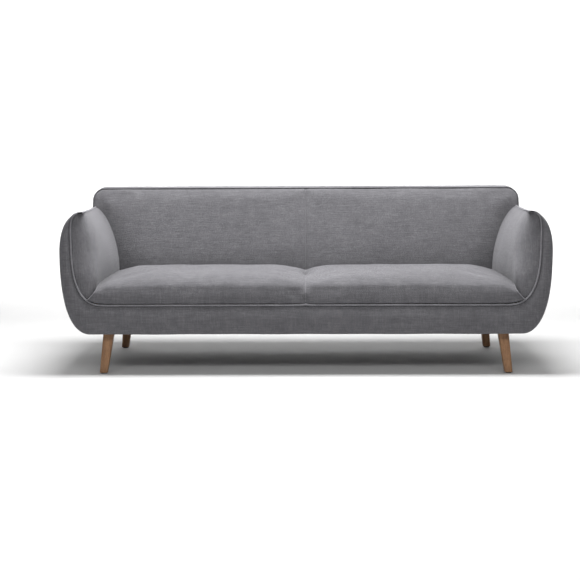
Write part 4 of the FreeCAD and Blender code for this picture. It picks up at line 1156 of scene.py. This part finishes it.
# ---------------------------------------------------------------- the dust cover
def dust_cover():
    """Black lining stretched under the frame, cut round the leg plates."""
    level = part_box("dust_cover")[0][2] - 0.0006
    plates_low, plates_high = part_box("leg_plates")
    plate_half = 0.030
    cut = plate_half + 0.005
    plate_x = plates_high[0] - plate_half
    plate_ys = (plates_low[1] + plate_half, plates_high[1] - plate_half)
    half = FOOT_X - 0.006
    start, end = FRONT + 0.026, rear_y(BASE) - 0.010
    columns, rows = 93, 40
    points = []
    for i in range(columns):
        for j in range(rows):
            across, along = i / (columns - 1), j / (rows - 1)
            x, y = mix(-half, half, across), mix(start, end, along)
            slack = 0.003 * math.sin(math.pi * across) * math.sin(math.pi * along)
            ripple = 0.0006 * noise.noise(Vector((x * 6, y * 18, 0)))
            points.append(Vector((x, y, level - slack + ripple)))
    faces = []
    for face in grid_faces(columns, rows):
        centre = sum((points[k] for k in face), Vector()) / 4
        beside = abs(abs(centre.x) - plate_x) < cut
        under_leg = beside and any(abs(centre.y - y) < cut for y in plate_ys)
        if not under_leg:
            faces.append(face)
    obj = add_object("dust_cover_sheet", points, faces)
    finish_mesh(obj)
    enter(obj, "dust_cloth", "dust_cover")


# ---------------------------------------------------------------- studio
def studio():
    """A pale paper sweep, a large soft light above and one each for the floor and backdrop."""
    reach, turn_y, radius, top = 9, 3.2, 1.6, 7.0
    turn_steps = 12
    sweep = [(-reach, 0), (turn_y, 0)]
    for k in range(1, turn_steps + 1):
        angle = math.pi / 2 * k / turn_steps
        sweep.append((turn_y + radius * math.sin(angle), radius * (1 - math.cos(angle))))
    sweep.append((turn_y + radius, top))
    points = [Vector((x, y, z)) for y, z in sweep for x in (-reach, reach)]
    floor = add_object("studio_floor", points, grid_faces(len(sweep), 2))
    for polygon in floor.data.polygons:
        polygon.use_smooth = True
    paper = Shader("studio_paper")
    tone = paper.noise(3, 2.0)
    colour = paper.colours(tone, (0.0, (0.46, 0.46, 0.46)), (1.0, (0.49, 0.49, 0.49)))
    floor.data.materials.append(paper.finish(colour, 0.9))

    def area(name, place, aim, width, height, power):
        lamp = bpy.data.lights.new(name, "AREA")
        lamp.shape = "RECTANGLE"
        lamp.size, lamp.size_y = width, height
        lamp.energy = power
        obj = bpy.data.objects.new(name, lamp)
        obj.location = place
        way = Vector(aim) - Vector(place)
        obj.rotation_euler = way.to_track_quat("-Z", "Y").to_euler()
        SCENE.collection.objects.link(obj)

    area("top_light", (0, -0.2, 3.3), (0, -0.2, 0), 2.2, 1.2, 265)
    area("floor_light", (0, -4.4, 3.2), (0, -4.2, 0), 7.5, 1.6, 230)
    area("backdrop_light", (0, 2.8, 4.4), (0, 4.8, 3.7), 8.0, 1.0, 900)
    world = bpy.data.worlds.new("studio_world")
    world.use_nodes = True
    glow = world.node_tree.nodes["Background"]
    glow.inputs["Color"].default_value = (1, 1, 1, 1)
    glow.inputs["Strength"].default_value = 0.22
    SCENE.world = world
    SCENE.view_settings.view_transform = "Standard"


def camera():
    """A long lens a little above the back, looking slightly down and to the left."""
    pitch, yaw, roll = (math.radians(turn) for turn in (7.0013, 0.7369, -0.2303))
    place, lens = (0.0027, -5.7678, 1.025), 78.614
    ahead = Vector((-math.sin(yaw), math.cos(yaw), 0))
    right = Vector((math.cos(yaw), math.sin(yaw), 0))
    up = Vector((0, 0, 1))
    look = ahead * math.cos(pitch) - up * math.sin(pitch)
    above = up * math.cos(pitch) + ahead * math.sin(pitch)
    across = right * math.cos(roll) + above * math.sin(roll)
    above = above * math.cos(roll) - right * math.sin(roll)
    data = bpy.data.cameras.new("camera")
    data.sensor_width = 36
    data.lens = lens
    obj = bpy.data.objects.new("camera", data)
    turned = Matrix((across, above, -look)).transposed().to_4x4()
    obj.matrix_world = Matrix.Translation(place) @ turned
    SCENE.collection.objects.link(obj)
    SCENE.camera = obj


camera()
studio()
dress_cad_nodes()
outer_shell()
for side_name, side_sign in SIDES:
    arm_pad(side_name, side_sign)
    seat_pad(side_name, side_sign)
    back_pad(side_name, side_sign)
boxing()
rear_panel()
piping()
seams()
dust_cover()
